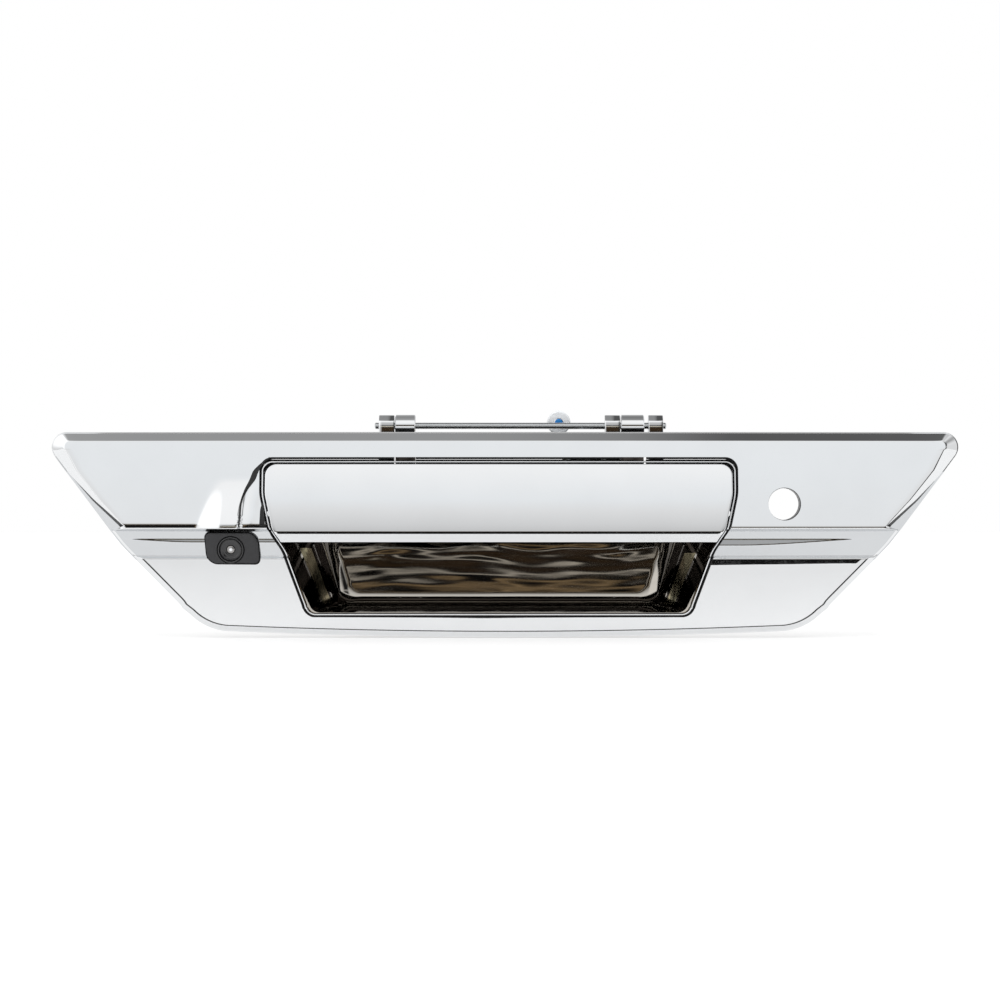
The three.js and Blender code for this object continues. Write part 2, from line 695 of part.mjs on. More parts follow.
place('upper_clip_lock', clipLock(UPPER_CLIP), BLUE);
place('lower_rod_clip', rodClip(LOWER_CLIP), NYLON);
place('lower_clip_lock', clipLock(LOWER_CLIP), BLUE);
place('camera_front_housing', cameraFrontHousing(), BLACK);
place('camera_rear_housing', cameraRearHousing(), BLACK);
place('camera_seal', cameraSeal(), RUBBER);
place('lens_ring', lensRing(), BLACK);
place('lens_glass', lensGlass(), GLASS);
place('inner_lens', innerLens(), STEEL);
place('lens_barrel', lensBarrel(), BLACK);
place('sensor_board', sensorBoard(), BOARD);
place('image_sensor', imageSensor(), BLACK);
place('cable_gland', cableGland(), RUBBER);
place('camera_bracket', cameraBracket(), ZINC);
BRACKET_SCREWS.forEach((at, k) => place(`camera_screw_${k + 1}`, cameraScrew(at), ZINC));

export default assembly;
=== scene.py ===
"""Pickup tailgate handle with a built-in backup camera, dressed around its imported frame.

Shapes are worked out in millimetres (+X right, +Y into the tailgate, +Z up) and stored in metres.
"""
import math

import bmesh
import bpy
import numpy as np
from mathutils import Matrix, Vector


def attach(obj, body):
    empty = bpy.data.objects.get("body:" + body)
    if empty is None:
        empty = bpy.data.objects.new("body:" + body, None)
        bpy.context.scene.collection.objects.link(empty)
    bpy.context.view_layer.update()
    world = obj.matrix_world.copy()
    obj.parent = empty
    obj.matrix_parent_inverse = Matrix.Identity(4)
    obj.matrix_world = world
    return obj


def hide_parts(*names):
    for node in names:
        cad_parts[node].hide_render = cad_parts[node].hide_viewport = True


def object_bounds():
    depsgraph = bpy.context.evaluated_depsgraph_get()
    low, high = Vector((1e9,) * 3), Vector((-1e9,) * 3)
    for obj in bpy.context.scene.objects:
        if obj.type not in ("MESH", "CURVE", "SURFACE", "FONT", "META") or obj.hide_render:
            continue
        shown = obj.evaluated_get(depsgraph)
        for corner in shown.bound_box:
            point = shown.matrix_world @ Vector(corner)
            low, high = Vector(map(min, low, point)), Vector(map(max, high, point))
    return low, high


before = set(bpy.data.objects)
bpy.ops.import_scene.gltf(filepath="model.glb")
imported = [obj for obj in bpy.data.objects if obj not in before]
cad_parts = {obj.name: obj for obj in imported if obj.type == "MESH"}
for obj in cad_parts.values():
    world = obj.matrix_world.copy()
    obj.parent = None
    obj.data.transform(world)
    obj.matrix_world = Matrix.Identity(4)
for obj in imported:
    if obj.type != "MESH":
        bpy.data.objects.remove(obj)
CAD_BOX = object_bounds()
MM = 0.001

# ---- driving dimensions, mm -------------------------------------------------------------
HALF_LENGTH = 250.0
PLAN_BOW = 8.0
SHELL = 2.6
SEAT_Y = -2.0
OPEN_X = -3.5

PIN_Y, PIN_Z, PIN_R = 10.0, 8.1, 1.8
EARS = ((-70.0, -61.4), (55.3, 63.9), (79.5, 87.7))
BARRELS = ((-61.0, -49.7), (64.3, 77.2))
EAR_R, BARREL_R = 6.4, 6.2

PANEL_FRONT, PANEL_BACK = -6.0, -3.5
CUP_WALL, CUP_BACK, CUP_ROUND = 2.4, 30.0, 5.5
ARM_GAP = 0.5                    # beside each paddle arm, where the bead is slotted for it
CRANK_X, CRANK_Z, CRANK_FRONT, CRANK_THICK = 45.0, -11.0, 25.0, 2.5
UPPER_CLIP, LOWER_CLIP = (30.1, 10.2), (56.0, -26.6)

CAMERA_AT = np.array([-149.7, -15.6, -59.65])
CAMERA_TILT = math.radians(8.0)
CAMERA_HALF_WIDTH, CAMERA_HALF_HEIGHT = 14.4, 8.5
LENS_X, LENS_Z, LENS_BORE = -0.6, -0.8, 7.5
KEY_X, KEY_Z, KEY_R = 153.0, -35.3, 9.0
STUDS = ((-206.0, -20.0), (206.0, -20.0), (-160.0, -86.0), (160.0, -86.0))
FRAME_SCREWS = ((-143.5, -24.0), (134.5, -24.0), (-128.5, -86.0), (121.3, -86.0))
BRACKET_SCREWS = ((-19.5, -1.0), (19.5, -1.0))   # in the camera's own frame

# front of the bezel at mid-length: heights and depths, top to bottom
BELT_TOP, BELT_STEP, LOW_STEP, BELT_LOW = -49.0, -49.9, -64.0, -65.0
RIDGE_Z = -54.2
FACE_Z = (-0.6, BELT_TOP, BELT_STEP, LOW_STEP, BELT_LOW, -104.8)
FACE_Y = (-13.0, -21.5, -17.0, -14.6, -17.2, -10.0)
PADDLE_TOP, PADDLE_LIP, PADDLE_BOTTOM = -13.9, -50.0, -55.65
PADDLE_CORNER, PADDLE_ROLL, PADDLE_SKIN = 6.0, 0.55, 2.1
SPRING_RADIUS, SPRING_WIRE, SPRING_TURNS = 9.2, 0.7, 4.5
SPRING_FRONT, SPRING_BACK = 13.5, 22.6
SHARP = 32.0                     # degrees between faces, past which an edge stays crisp


# ---- small maths ------------------------------------------------------------------------
def table(z, heights, values):
    """Straight lines between the given heights, which run downwards, and level beyond them."""
    return np.interp(-np.asarray(z, float), -np.asarray(heights, float), values)


def soft_table(z, heights, values, radius):
    """The same lines averaged over a stretch of twice the radius, which rounds every corner."""
    shifts = np.linspace(-1.0, 1.0, 17) * radius
    return np.mean([table(np.asarray(z, float) + shift, heights, values) for shift in shifts], axis=0)


def step(value, low, high):
    """A smooth rise from 0 at low to 1 at high: 3t^2 - 2t^3."""
    t = np.clip((value - low) / (high - low), 0.0, 1.0)
    return t * t * (3.0 - 2.0 * t)


def bow(x):
    """The ends lie behind the middle by a parabola."""
    return PLAN_BOW * (np.asarray(x, float) / HALF_LENGTH) ** 2


def hood(x, z):
    """Height of the raised hood over the camera: a ramp that grows downwards, times a soft rise on
    its left and a steep fall along a curved line on its right, beyond which a low lobe remains."""
    height = 4.8 * step(-z, 21.0, 50.0)
    left = table(z, (-22.0, -48.5), (-160.0, -170.0))
    right = soft_table(z, (-14.0, -22.0, -29.0, -36.0, -48.5), (-132.0, -139.0, -142.6, -144.6, -145.6), 3.0)
    rise = step(x, left, left + table(z, (-22.0, -48.5), (8.0, 15.0)))
    fall = 1.0 - 0.72 * step(x, right - 0.8, right + 1.4) - 0.28 * step(x, right + 3.0, right + 10.0)
    above = step(z, -49.7, -48.9)
    return height * rise * fall * above


def facets(x, z):
    """Narrow facets that face straight ahead along the two belt edges, and a low ridge on the belt.
    Each adds the slope that levels the profile over its height, which changes along the length."""
    right = step(x, -60.0, 60.0)
    upper = 2.7 - 1.5 * right
    lower = 0.9 + 4.2 * right
    ridge = np.where(x > 0, 4.2 * (1 - step(x, 128.0, 214.0)), 2.4 * (1 - step(-x, 170.0, 226.0)))
    top_edge = 0.178 * np.clip(upper - (z - BELT_TOP), 0.0, upper) * step(z, -49.6, -49.0)
    low_edge = 0.181 * np.clip(lower - (BELT_LOW - z), 0.0, lower) * step(-z, 64.2, 64.8)
    down = np.clip(RIDGE_Z - z, 0.0, ridge)
    down = down - np.clip(RIDGE_Z - ridge - z, 0.0, None) * ridge / (9.4 - ridge)
    return top_edge + low_edge - 0.27 * np.maximum(down, 0.0) * step(z, LOW_STEP, LOW_STEP + 1.0)


def face_y(x, z):
    """Depth of the bezel's front: the rounded height profile plus the bow, less the hood."""
    shifts = (-0.45, -0.22, 0.0, 0.22, 0.45)
    edges = np.mean([facets(x, z + shift) for shift in shifts], axis=0)
    return soft_table(z, FACE_Z, FACE_Y, 0.45) + edges + bow(x) - hood(x, z)


def paddle_y(x, z):
    """Depth of the paddle's front: a parabola whose slope eases from 0.26 to 0.11 down to the lip's
    edge, then a flat that runs back, joined by a round; plus the bow."""
    down = -12.7 - np.asarray(z, float)
    curved = np.minimum(down, 37.6)
    front = -16.9 - (0.255 * curved - 0.0019 * curved ** 2)
    lip = -24.05 + 0.80 * (down - 38.6)
    blend = np.clip((down - 38.1) / 1.0, 0.0, 1.0)
    return front * (1 - blend) + np.maximum(lip, front) * blend + bow(x)


# ---- meshes -----------------------------------------------------------------------------
def turn_camera(points):
    """Camera pieces are made with the face's middle at the origin, tipped down and moved into place."""
    x, y, z = points[..., 0], points[..., 1], points[..., 2]
    c, s = math.cos(CAMERA_TILT), math.sin(CAMERA_TILT)
    return np.stack([x, y * c - z * s, y * s + z * c], axis=-1) + CAMERA_AT


def add_object(name, data):
    """Puts a mesh, a lamp or a camera into the scene."""
    made = bpy.data.objects.new(name, data)
    bpy.context.scene.collection.objects.link(made)
    return made


def at_depth(flat, depth):
    """Lays an outline of x and z at a depth, which is one value or one for each of its points."""
    return np.stack([flat[:, 0], np.broadcast_to(depth, len(flat)), flat[:, 1]], 1)


class Shape:
    """Collects grids into one mesh."""

    def __init__(self):
        self.points, self.faces, self.marks, self.count = [], [], [], 0

    def grid(self, points, wrap_rows=False, wrap_columns=True, cap=False, marks=None):
        """Quads between neighbouring rows and columns of a (rows, columns, 3) array. With cap, the
        first and last rows are closed by one face each. Marks give each quad its finish."""
        rows, columns = points.shape[:2]
        index = np.arange(rows * columns).reshape(rows, columns) + self.count
        if wrap_rows:
            index = np.vstack([index, index[:1]])
        if wrap_columns:
            index = np.hstack([index, index[:, :1]])
        quads = np.stack([index[:-1, :-1], index[:-1, 1:], index[1:, 1:], index[1:, :-1]],
                         axis=-1).reshape(-1, 4)
        self.faces.extend(quads.tolist())
        self.marks.extend([0] * len(quads) if marks is None else marks.reshape(-1).astype(int).tolist())
        if cap:
            self.faces.append((np.arange(columns)[::-1] + self.count).tolist())
            self.faces.append((np.arange(columns) + self.count + (rows - 1) * columns).tolist())
            self.marks.extend([0, 0])
        self.points.append(points.reshape(-1, 3))
        self.count += rows * columns
        return self

    def mesh(self, name, sharp=SHARP):
        """The collected grids as one mesh, in metres, smooth apart from its crisp edges."""
        data = bpy.data.meshes.new(name)
        data.from_pydata((np.vstack(self.points) * MM).tolist(), [], self.faces)
        data.polygons.foreach_set("material_index", self.marks)
        merge_and_face_out(data)
        data.shade_smooth()
        data.set_sharp_from_angle(angle=math.radians(sharp))
        return data


def merge_and_face_out(data):
    """Joins doubled points, drops faces without area and turns all faces outwards."""
    work = bmesh.new()
    work.from_mesh(data)
    bmesh.ops.remove_doubles(work, verts=work.verts, dist=2e-6)
    bmesh.ops.dissolve_degenerate(work, dist=1e-6, edges=work.edges)
    bmesh.ops.recalc_face_normals(work, faces=work.faces)
    work.to_mesh(data)
    work.free()


def piece(name, shape, finish, nodes, body="root", sharp=SHARP):
    """Puts a shape into the scene in place of its CAD nodes. The finish is one or several, which the
    marks of the shape's quads choose from."""
    data = shape.mesh(name, sharp)
    for coat in finish if isinstance(finish, tuple) else (finish,):
        data.materials.append(coat)
    made = add_object(name, data)
    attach(made, body)
    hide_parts(*nodes)
    return made


def dress(node, coat):
    """Gives a CAD node that stays in view its finish."""
    for place in bpy.data.objects[node].material_slots:
        place.material = coat


def rounded(points, reach, steps=4, closed=False):
    """A polyline of (n, d) points with each corner replaced by a parabola arc that starts reach
    before the corner and ends reach after it. reach is one value or one for each point."""
    points = np.asarray(points, float)
    reach = np.broadcast_to(np.asarray(reach, float), (len(points),))
    out = []
    for k, corner in enumerate(points):
        if not closed and k in (0, len(points) - 1):
            out.append(corner)
            continue
        before, after = points[k - 1], points[(k + 1) % len(points)]
        to_before, to_after = np.linalg.norm(before - corner), np.linalg.norm(after - corner)
        start = corner + (before - corner) * min(reach[k] / to_before, 0.48)
        end = corner + (after - corner) * min(reach[k] / to_after, 0.48)
        t = np.linspace(0.0, 1.0, steps + 1)[:, None]
        out.extend(start * (1 - t) ** 2 + 2 * corner * t * (1 - t) + end * t ** 2)
    return np.array(out)


def rounded_sections(controls, reaches, steps=5):
    """Rounds the corners of many section lines at once: controls is a list of (n, 3) arrays, the
    successive control points of all n sections, and reaches gives one radius for each of them."""
    rows = [controls[0][None]]
    t = np.linspace(0.0, 1.0, steps + 1)[:, None, None]
    for before, corner, after, reach in zip(controls[:-2], controls[1:-1], controls[2:], reaches[1:-1]):
        to_before = np.linalg.norm(before - corner, axis=1, keepdims=True) + 1e-9
        to_after = np.linalg.norm(after - corner, axis=1, keepdims=True) + 1e-9
        start = corner + (before - corner) * np.minimum(reach / to_before, 0.47)
        end = corner + (after - corner) * np.minimum(reach / to_after, 0.47)
        rows.append(start * (1 - t) ** 2 + 2 * corner * t * (1 - t) + end * t ** 2)
    rows.append(controls[-1][None])
    return np.concatenate(rows)


def lathe(shape, x, z, profile, sides=64, reach=0.0, along_x=None):
    """A profile of (radius, depth) turned about an axis along Y through (x, z), or about an axis
    along X when along_x gives its (y, z). The profile closes on itself or ends on the axis."""
    if reach:
        profile = rounded(profile, reach, 3)
    radius, depth = np.asarray(profile, float).T
    angle = np.linspace(0.0, 2 * math.pi, sides, endpoint=False)[:, None]
    across, up = radius * np.cos(angle), radius * np.sin(angle)
    level = np.broadcast_to(depth, across.shape)
    if along_x is None:
        points = np.stack([x + across, level, z + up], axis=-1)
    else:
        points = np.stack([level, along_x[0] + across, along_x[1] + up], axis=-1)
    return shape.grid(points, wrap_rows=True, wrap_columns=False)


def plate(shape, outline, low, high, bevel=0.3, axis="y", place=None):
    """An outline carried from low to high along an axis, drawn in by the bevel at both ends."""
    outline = np.asarray(outline, float)
    tangent = np.roll(outline, -1, axis=0) - np.roll(outline, 1, axis=0)
    normal = np.stack([tangent[:, 1], -tangent[:, 0]], axis=1)
    normal /= np.linalg.norm(normal, axis=1, keepdims=True) + 1e-9
    area = np.sum(outline[:, 0] * np.roll(outline[:, 1], -1) - np.roll(outline[:, 0], -1) * outline[:, 1])
    inward = -normal * np.sign(area)
    levels = ((low, bevel), (low + 0.3 * bevel, 0.3 * bevel), (low + bevel, 0), (high - bevel, 0),
              (high - 0.3 * bevel, 0.3 * bevel), (high, bevel))
    rows = []
    for level, inset in levels:
        flat = outline + inward * inset
        row = at_depth(flat, level)
        rows.append(row if axis == "y" else row[:, [1, 0, 2]])
    points = np.array(rows)
    return shape.grid(place(points) if place else points, cap=True)


def tube_profile(inner, outer, low, high, reach=0.2):
    """The closed section of a tube or washer: a rectangle with three rounded corners."""
    return rounded([(inner, low), (outer, low), (outer, high), (inner, high), (inner, low)], reach, 3)


def arc(cx, cz, radius, start, end, steps):
    """Points on a circle between two angles in degrees."""
    angle = np.radians(np.linspace(start, end, steps + 1))
    return np.stack([cx + radius * np.cos(angle), cz + radius * np.sin(angle)], axis=1)


def cut_with(target, cutters):
    """Cuts closed shapes out of an object's mesh and keeps only the result."""
    for k, cutter in enumerate(cutters):
        tool = add_object(f"cutter_{k}", cutter.mesh(f"cutter_{k}"))
        change = target.modifiers.new("cut", "BOOLEAN")
        change.operation, change.solver, change.object = "DIFFERENCE", "EXACT", tool
        graph = bpy.context.evaluated_depsgraph_get()
        result = bpy.data.meshes.new_from_object(target.evaluated_get(graph))
        target.modifiers.remove(change)
        target.data = result
        bpy.data.objects.remove(tool)
    target.data.set_sharp_from_angle(angle=math.radians(SHARP))


# ---- outlines -----------------------------------------------------------------------------
SIDE_Z = np.concatenate([
    np.linspace(-16.6, -45.4, 20), np.linspace(-45.8, -51.0, 32)[:-1], np.linspace(-51.0, -61.6, 24)[:-1],
    np.linspace(-61.6, -69.0, 40)[:-1], np.linspace(-69.0, -92.8, 14)])
TOP_STEPS, CORNER_STEPS = 66, 14


def half_outline(top, corner, side, lower, bottom, bow_up):
    """Half of an outline, clockwise from the middle of the top to the middle of the bottom."""
    cx, cz, radius, end = corner
    lx, lz, low_radius, start = lower
    top_x = np.linspace(0.0, cx, TOP_STEPS + 1)[:-1]
    bottom_x = np.linspace(lx, 0.0, TOP_STEPS + 1)[1:]
    return np.concatenate([
        np.stack([top_x, np.full_like(top_x, top)], 1),
        arc(cx, cz, radius, 90, end, CORNER_STEPS),
        np.stack([side(SIDE_Z), SIDE_Z], 1),
        arc(lx, lz, low_radius, start, -90, CORNER_STEPS),
        np.stack([bottom_x, bottom + bow_up * (bottom_x / lx) ** 2], 1)])


def full_outline(half, middle=0.0):
    """A half outline and its mirror image, shifted along the length."""
    mirrored = half[1:-1][::-1] * (-1, 1)
    return np.concatenate([half, mirrored]) + (middle, 0)


def outer_side(z):
    """Half the bezel's length at a height: two slanted lines with a soft bend between them."""
    return soft_table(z, (-9.0, -57.8, -92.8), (248.7, 211.0, 177.0), 3.0)


def outer_outline(inset):
    """The bezel's silhouette, drawn in by the inset."""
    return full_outline(half_outline(
        4.3 - inset, (242, -4, 8.3 - inset, -37.7), lambda z: outer_side(z) - inset * 1.3,
        (151, -73.5, 32 - inset, -44.2), -108.6 + inset, 3.1))


def opening_outline(inset):
    """The opening for paddle and cup, drawn in by the inset: upright sides that lean in lower down."""
    def side(z):
        return soft_table(z, (-16.6, -30, -49, -61, -92.8), (131, 131, 126.8, 118.6, 107.2), 2.5) - inset
    return full_outline(half_outline(
        -9.6 - inset, (124, -16.6, 7 - inset, 0), side, (100.6, -90.5, 7 - inset, -19.6), -97.5 + inset, 0),
        OPEN_X)


# ---- finishes -------------------------------------------------------------------------------
def finish(name, colour, metal=0.0, rough=0.4, spread=0.05, grain=300.0, bump=0.0, bump_scale=0.0,
           tint=0.0, stretch=(1, 1, 1), coat=0.0):
    """A moulded or plated finish: fine noise moves its roughness, a second noise its colour, and a
    low bump gives the ripple or grain of the surface."""
    made = bpy.data.materials.new(name)
    made.use_nodes = True
    nodes, links = made.node_tree.nodes, made.node_tree.links
    shader = nodes["Principled BSDF"]
    shader.inputs["Metallic"].default_value = metal
    shader.inputs["Coat Weight"].default_value = coat
    place = nodes.new("ShaderNodeTexCoord")
    mapping = nodes.new("ShaderNodeMapping")
    mapping.inputs["Scale"].default_value = stretch
    links.new(place.outputs["Object"], mapping.inputs["Vector"])

    def noise(scale, detail=3.0):
        node = nodes.new("ShaderNodeTexNoise")
        node.inputs["Scale"].default_value = scale
        node.inputs["Detail"].default_value = detail
        links.new(mapping.outputs["Vector"], node.inputs["Vector"])
        return node.outputs["Fac"]

    def ranged(source, low, high):
        node = nodes.new("ShaderNodeMapRange")
        node.inputs["From Min"].default_value = 0.3
        node.inputs["From Max"].default_value = 0.7
        node.inputs["To Min"].default_value = low
        node.inputs["To Max"].default_value = high
        links.new(source, node.inputs["Value"])
        return node.outputs["Result"]

    links.new(ranged(noise(grain), max(rough - spread, 0.0), rough + spread), shader.inputs["Roughness"])
    mix = nodes.new("ShaderNodeMix")
    mix.data_type = "RGBA"
    mix.inputs[6].default_value = (*[c * (1 - tint) for c in colour], 1)
    mix.inputs[7].default_value = (*[min(c * (1 + tint), 1) for c in colour], 1)
    links.new(ranged(noise(grain * 0.23), 0.0, 1.0), mix.inputs[0])
    links.new(mix.outputs[2], shader.inputs["Base Color"])
    if bump:
        relief = nodes.new("ShaderNodeBump")
        relief.inputs["Strength"].default_value = 1.0
        relief.inputs["Distance"].default_value = bump
        links.new(noise(bump_scale, 2.0), relief.inputs["Height"])
        links.new(relief.outputs["Normal"], shader.inputs["Normal"])
    return made


def fade_with_height(made, top, at_top, bottom, at_bottom):
    """Multiplies a finish's colour by a factor that changes evenly with height."""
    nodes, links = made.node_tree.nodes, made.node_tree.links
    shader = nodes["Principled BSDF"]
    source = shader.inputs["Base Color"].links[0].from_socket
    place = nodes.new("ShaderNodeTexCoord")
    split = nodes.new("ShaderNodeSeparateXYZ")
    spread = nodes.new("ShaderNodeMapRange")
    for name, value in (("From Min", bottom), ("From Max", top), ("To Min", at_bottom), ("To Max", at_top)):
        spread.inputs[name].default_value = value
    scale = nodes.new("ShaderNodeVectorMath")
    scale.operation = "SCALE"
    links.new(place.outputs["Object"], split.inputs["Vector"])
    links.new(split.outputs["Z"], spread.inputs["Value"])
    links.new(source, scale.inputs["Vector"])
    links.new(spread.outputs["Result"], scale.inputs["Scale"])
    links.new(scale.outputs["Vector"], shader.inputs["Base Color"])


CHROME = finish("plated_chrome", (0.80, 0.81, 0.82), 1.0, 0.035, 0.015, 180.0, 0.000004, 26.0, 0.012)
# darker copy of the chrome: painted shade for the cup's recess, its streaky colour painted reflections
SHADED_CUP_CHROME = finish("cup_chrome_painted_shade", (0.44, 0.415, 0.375), 1.0, 0.045, 0.025, 140.0, 0.00001, 90.0, 0.15,
                    stretch=(0.25, 1.0, 2.4))
# darker copy of the chrome: painted shade on the belt band and the end skirts
SHADED_BELT_CHROME = finish("chrome_belt_painted_shade", (0.62, 0.635, 0.65), 1.0, 0.035, 0.015, 180.0, 0.000004, 26.0, 0.012)
# the same chrome, faded by height below: painted reflection on the lower face
FADED_LOW_CHROME = finish("chrome_painted_reflection_fade", (0.80, 0.81, 0.82), 1.0, 0.035, 0.015, 180.0, 0.000004, 26.0, 0.012)
# bronze-coloured chrome: a painted reflection on the cup's sides
PAINTED_BRONZE_REFLECTION = finish("painted_bronze_reflection", (0.95, 0.74, 0.50), 1.0, 0.16, 0.06, 300.0, 0.0001, 150.0, 0.45,
                       stretch=(2.0, 1.0, 0.5))
# near-black chrome: painted shade on the cup's walls and the paddle's arms
RECESS_SHADE_CHROME = finish("chrome_painted_recess_shade", (0.060, 0.052, 0.047), 1.0, 0.06, 0.03, 240.0, 0.0001, 60.0, 0.5,
                  stretch=(0.5, 1.0, 1.5))
# near-black: the camera seal's own colour, and painted shade along the bezel's creases and the hood's edge
SEAL_AND_SHADE_BLACK = finish("seal_black_and_painted_shade", (0.004, 0.004, 0.004), 0.0, 0.30, 0.10, 900.0, 0.0, 0.0, 0.2)
PIN_STEEL = finish("pin_steel", (0.60, 0.62, 0.63), 1.0, 0.28, 0.08, 900.0, 0.000012, 700.0, 0.06,
                   stretch=(0.08, 1, 1))
ZINC = finish("zinc_plate", (0.66, 0.65, 0.58), 1.0, 0.36, 0.10, 700.0, 0.000015, 900.0, 0.08)
CAMERA_BLACK = finish("camera_black", (0.020, 0.020, 0.022), 0.0, 0.40, 0.08, 1600.0, 0.000012, 2600.0, 0.12)
CAMERA_GLOSS = finish("camera_gloss", (0.006, 0.006, 0.007), 0.0, 0.12, 0.04, 900.0, 0.0, 0.0, 0.2, coat=0.5)
FOAM = finish("gasket_foam", (0.022, 0.022, 0.023), 0.0, 0.92, 0.05, 1500.0, 0.00012, 1300.0, 0.35)
RUBBER = finish("soft_rubber", (0.020, 0.020, 0.021), 0.0, 0.75, 0.08, 1200.0, 0.00003, 1500.0, 0.2)
NYLON = finish("milky_nylon", (0.84, 0.86, 0.88), 0.0, 0.45, 0.08, 600.0, 0.00001, 900.0, 0.03)
BLUE = finish("blue_lock", (0.010, 0.22, 0.62), 0.0, 0.30, 0.08, 700.0, 0.000008, 900.0, 0.10, coat=0.3)
BRONZE = finish("bush_bronze", (0.60, 0.40, 0.17), 1.0, 0.30, 0.10, 800.0, 0.00001, 900.0, 0.10)
LENS_METAL = finish("lens_bright_ring", (0.36, 0.35, 0.34), 1.0, 0.30, 0.08, 900.0, 0.0, 0.0, 0.08)
BOARD = finish("circuit_board", (0.012, 0.10, 0.045), 0.0, 0.45, 0.12, 1400.0, 0.00002, 1500.0, 0.25)
# painted reflection: the lower face's chrome darker at the top and lighter at the bottom
fade_with_height(FADED_LOW_CHROME, -0.066, 0.86, -0.100, 1.06)
FLOOR = finish("lit_table", (0.45, 0.45, 0.45), 0.0, 0.75, 0.05, 30.0, 0.0, 0.0, 0.01)
FLOOR.node_tree.nodes["Principled BSDF"].inputs["Emission Color"].default_value = (1, 1, 1, 1)
FLOOR.node_tree.nodes["Principled BSDF"].inputs["Emission Strength"].default_value = 0.55


# ---- bezel ----------------------------------------------------------------------------------
# the second mark gives near-black painted crease shade, the third darker chrome as painted shade, the fourth
# chrome with a painted reflection fade
MIRROR, PAINTED_SHADE, SHADED_BELT, FADED_LOWER = range(4)          # the bezel's finishes, as its marks name them


def bezel_sections():
    """One closed section for each station round the outline: seat, side wall, skirt, riser, chamfer,
    face, opening edge, and back along the inside of the wall. Returns the sections and the marks that
    choose each quad's finish, among them painted shade and a painted reflection fade."""
    outer, opening = outer_outline(0.0), opening_outline(0.0)
    x, z = outer[:, 0], outer[:, 1]
    side = np.sign(x)
    on_side = (z < -9.0) & (z > -94.0) & (np.abs(x) > 170)
    skirt = np.where(on_side, table(z, (-10, -20, -33.6, -48.5, -49.6, -64, -65, -93),
                                    (0.9, 1.2, 2.8, 7.6, 1.0, 1.0, 1.0, 1.0)), 0.7)
    rise = np.where(on_side, table(z, (-12, -33, -48.5, -49.6, -93), (0.05, 2.4, 4.0, 0.1, 0.05)), 0.05)
    crease = np.where(on_side, table(z, (-9, -20, -33, -48.5, -49.6, -64, -65, -93),
                                     (6.6, 6.9, 7.6, 10.6, 2.2, 2.2, 4.9, 4.9)), 0.0)
    rim = rim_outline()
    rim[on_side, 0] = x[on_side] - side[on_side] * crease[on_side]
    centre = np.where(on_side, 1.0, 0.0)
    normal = outline_normals(outer)
    low = step(-z, 65.0, 72.0)[:, None]
    rim = rim * (1 - low) + (outer - normal * 3.6) * low
    foot = outer - normal * skirt[:, None]
    flat_side = on_side & (z > -66.0)
    foot[flat_side] = np.stack([x - side * skirt, z], 1)[flat_side]
    rim_depth = face_y(rim[:, 0], rim[:, 1])
    chamfer_y = np.minimum(rim_depth + 3.4, SEAT_Y - 0.5)
    skirt_y = table(z, (-9, -20, -48.5, -64, -65, -93), (-3.2, -4.6, -9.2, -9.0, -9.0, -5.0))
    edge_y = np.where(on_side, skirt_y, chamfer_y)
    foot_y = edge_y - (0.12 + 0.3 * skirt) * centre
    blend = step(z, -22.0, -9.0) * (np.abs(x) > 225)
    edge_y = edge_y * (1 - blend) + np.minimum(chamfer_y, -2.6) * blend
    foot_y = foot_y * (1 - blend) + (edge_y - 0.1) * blend
    inward = opening - rim
    s = np.linspace(0.0, 1.0, 92)[1:-1]
    along = 1.0 - (1.0 - s) ** 1.35
    face = np.array([at_depth(rim + inward * t, face_y(*(rim + inward * t).T)) for t in along])
    open_y = face_y(opening[:, 0], opening[:, 1])
    wall = table(z, (-20, -33, -48.5, -49.6), (0.06, 1.2, 2.1, 0.06))[:, None]
    front = rounded_sections(
        [at_depth(outer, SEAT_Y), at_depth(outer, edge_y), at_depth(foot, foot_y),
         at_depth(foot - normal * wall, foot_y - rise),
         at_depth(rim, rim_depth), face[1]], (0, 0.6, 0.18, 0.3, 0.8, 0))[:-1]
    edge = rounded_sections([face[-1], at_depth(opening, open_y), at_depth(opening, open_y + SHELL)],
                            (0, 0.6, 0), 4)[1:]
    back = [at_depth(rim + inward * t, face_y(*(rim + inward * t).T) + SHELL + 0.2)
            for t in (0.75, 0.5, 0.25, 0.08)]
    inner = outer_outline(2.4)
    rows = np.concatenate([front, face[2:], edge, np.array(back), at_depth(inner, SEAT_Y - 0.9)[None],
                           at_depth(inner, SEAT_Y)[None]])
    marks = np.zeros((len(outer), len(rows)))
    skirt_quads, riser_quads, rim_quads = slice(1, 12), slice(12, 15), slice(19, 24)
    face_quads = slice(len(front) - 2, len(front) + len(face) - 3)
    # painted light on the bezel: skirt and belt band take darker chrome (painted shade); riser, bottom
    # chamfer, a thin land along the opening's lower part and the opening's edge take near-black (painted
    # crease shade); the lower face takes chrome faded darker towards the top (painted reflection)
    marks[on_side & (z < -13.0) & (z > -66.0), skirt_quads] = SHADED_BELT
    marks[on_side & (rise > 1.2), riser_quads] = PAINTED_SHADE
    marks[z < -65.5, rim_quads] = PAINTED_SHADE
    marks[(z < BELT_STEP) & (z > -63.7), face_quads] = SHADED_BELT
    marks[z < -65.4, face_quads] = FADED_LOWER
    edge_at = len(front) + len(face) - 2
    land = np.where(z < -52.0, 0.5, 0.0)
    reach = np.linalg.norm(inward, axis=1)[:, None] * (1.0 - along[1:-1])
    marks[:, len(front) - 1:edge_at - 1][reach < land[:, None]] = PAINTED_SHADE
    marks[:, edge_at - 1:edge_at + 6] = PAINTED_SHADE
    return rows, marks


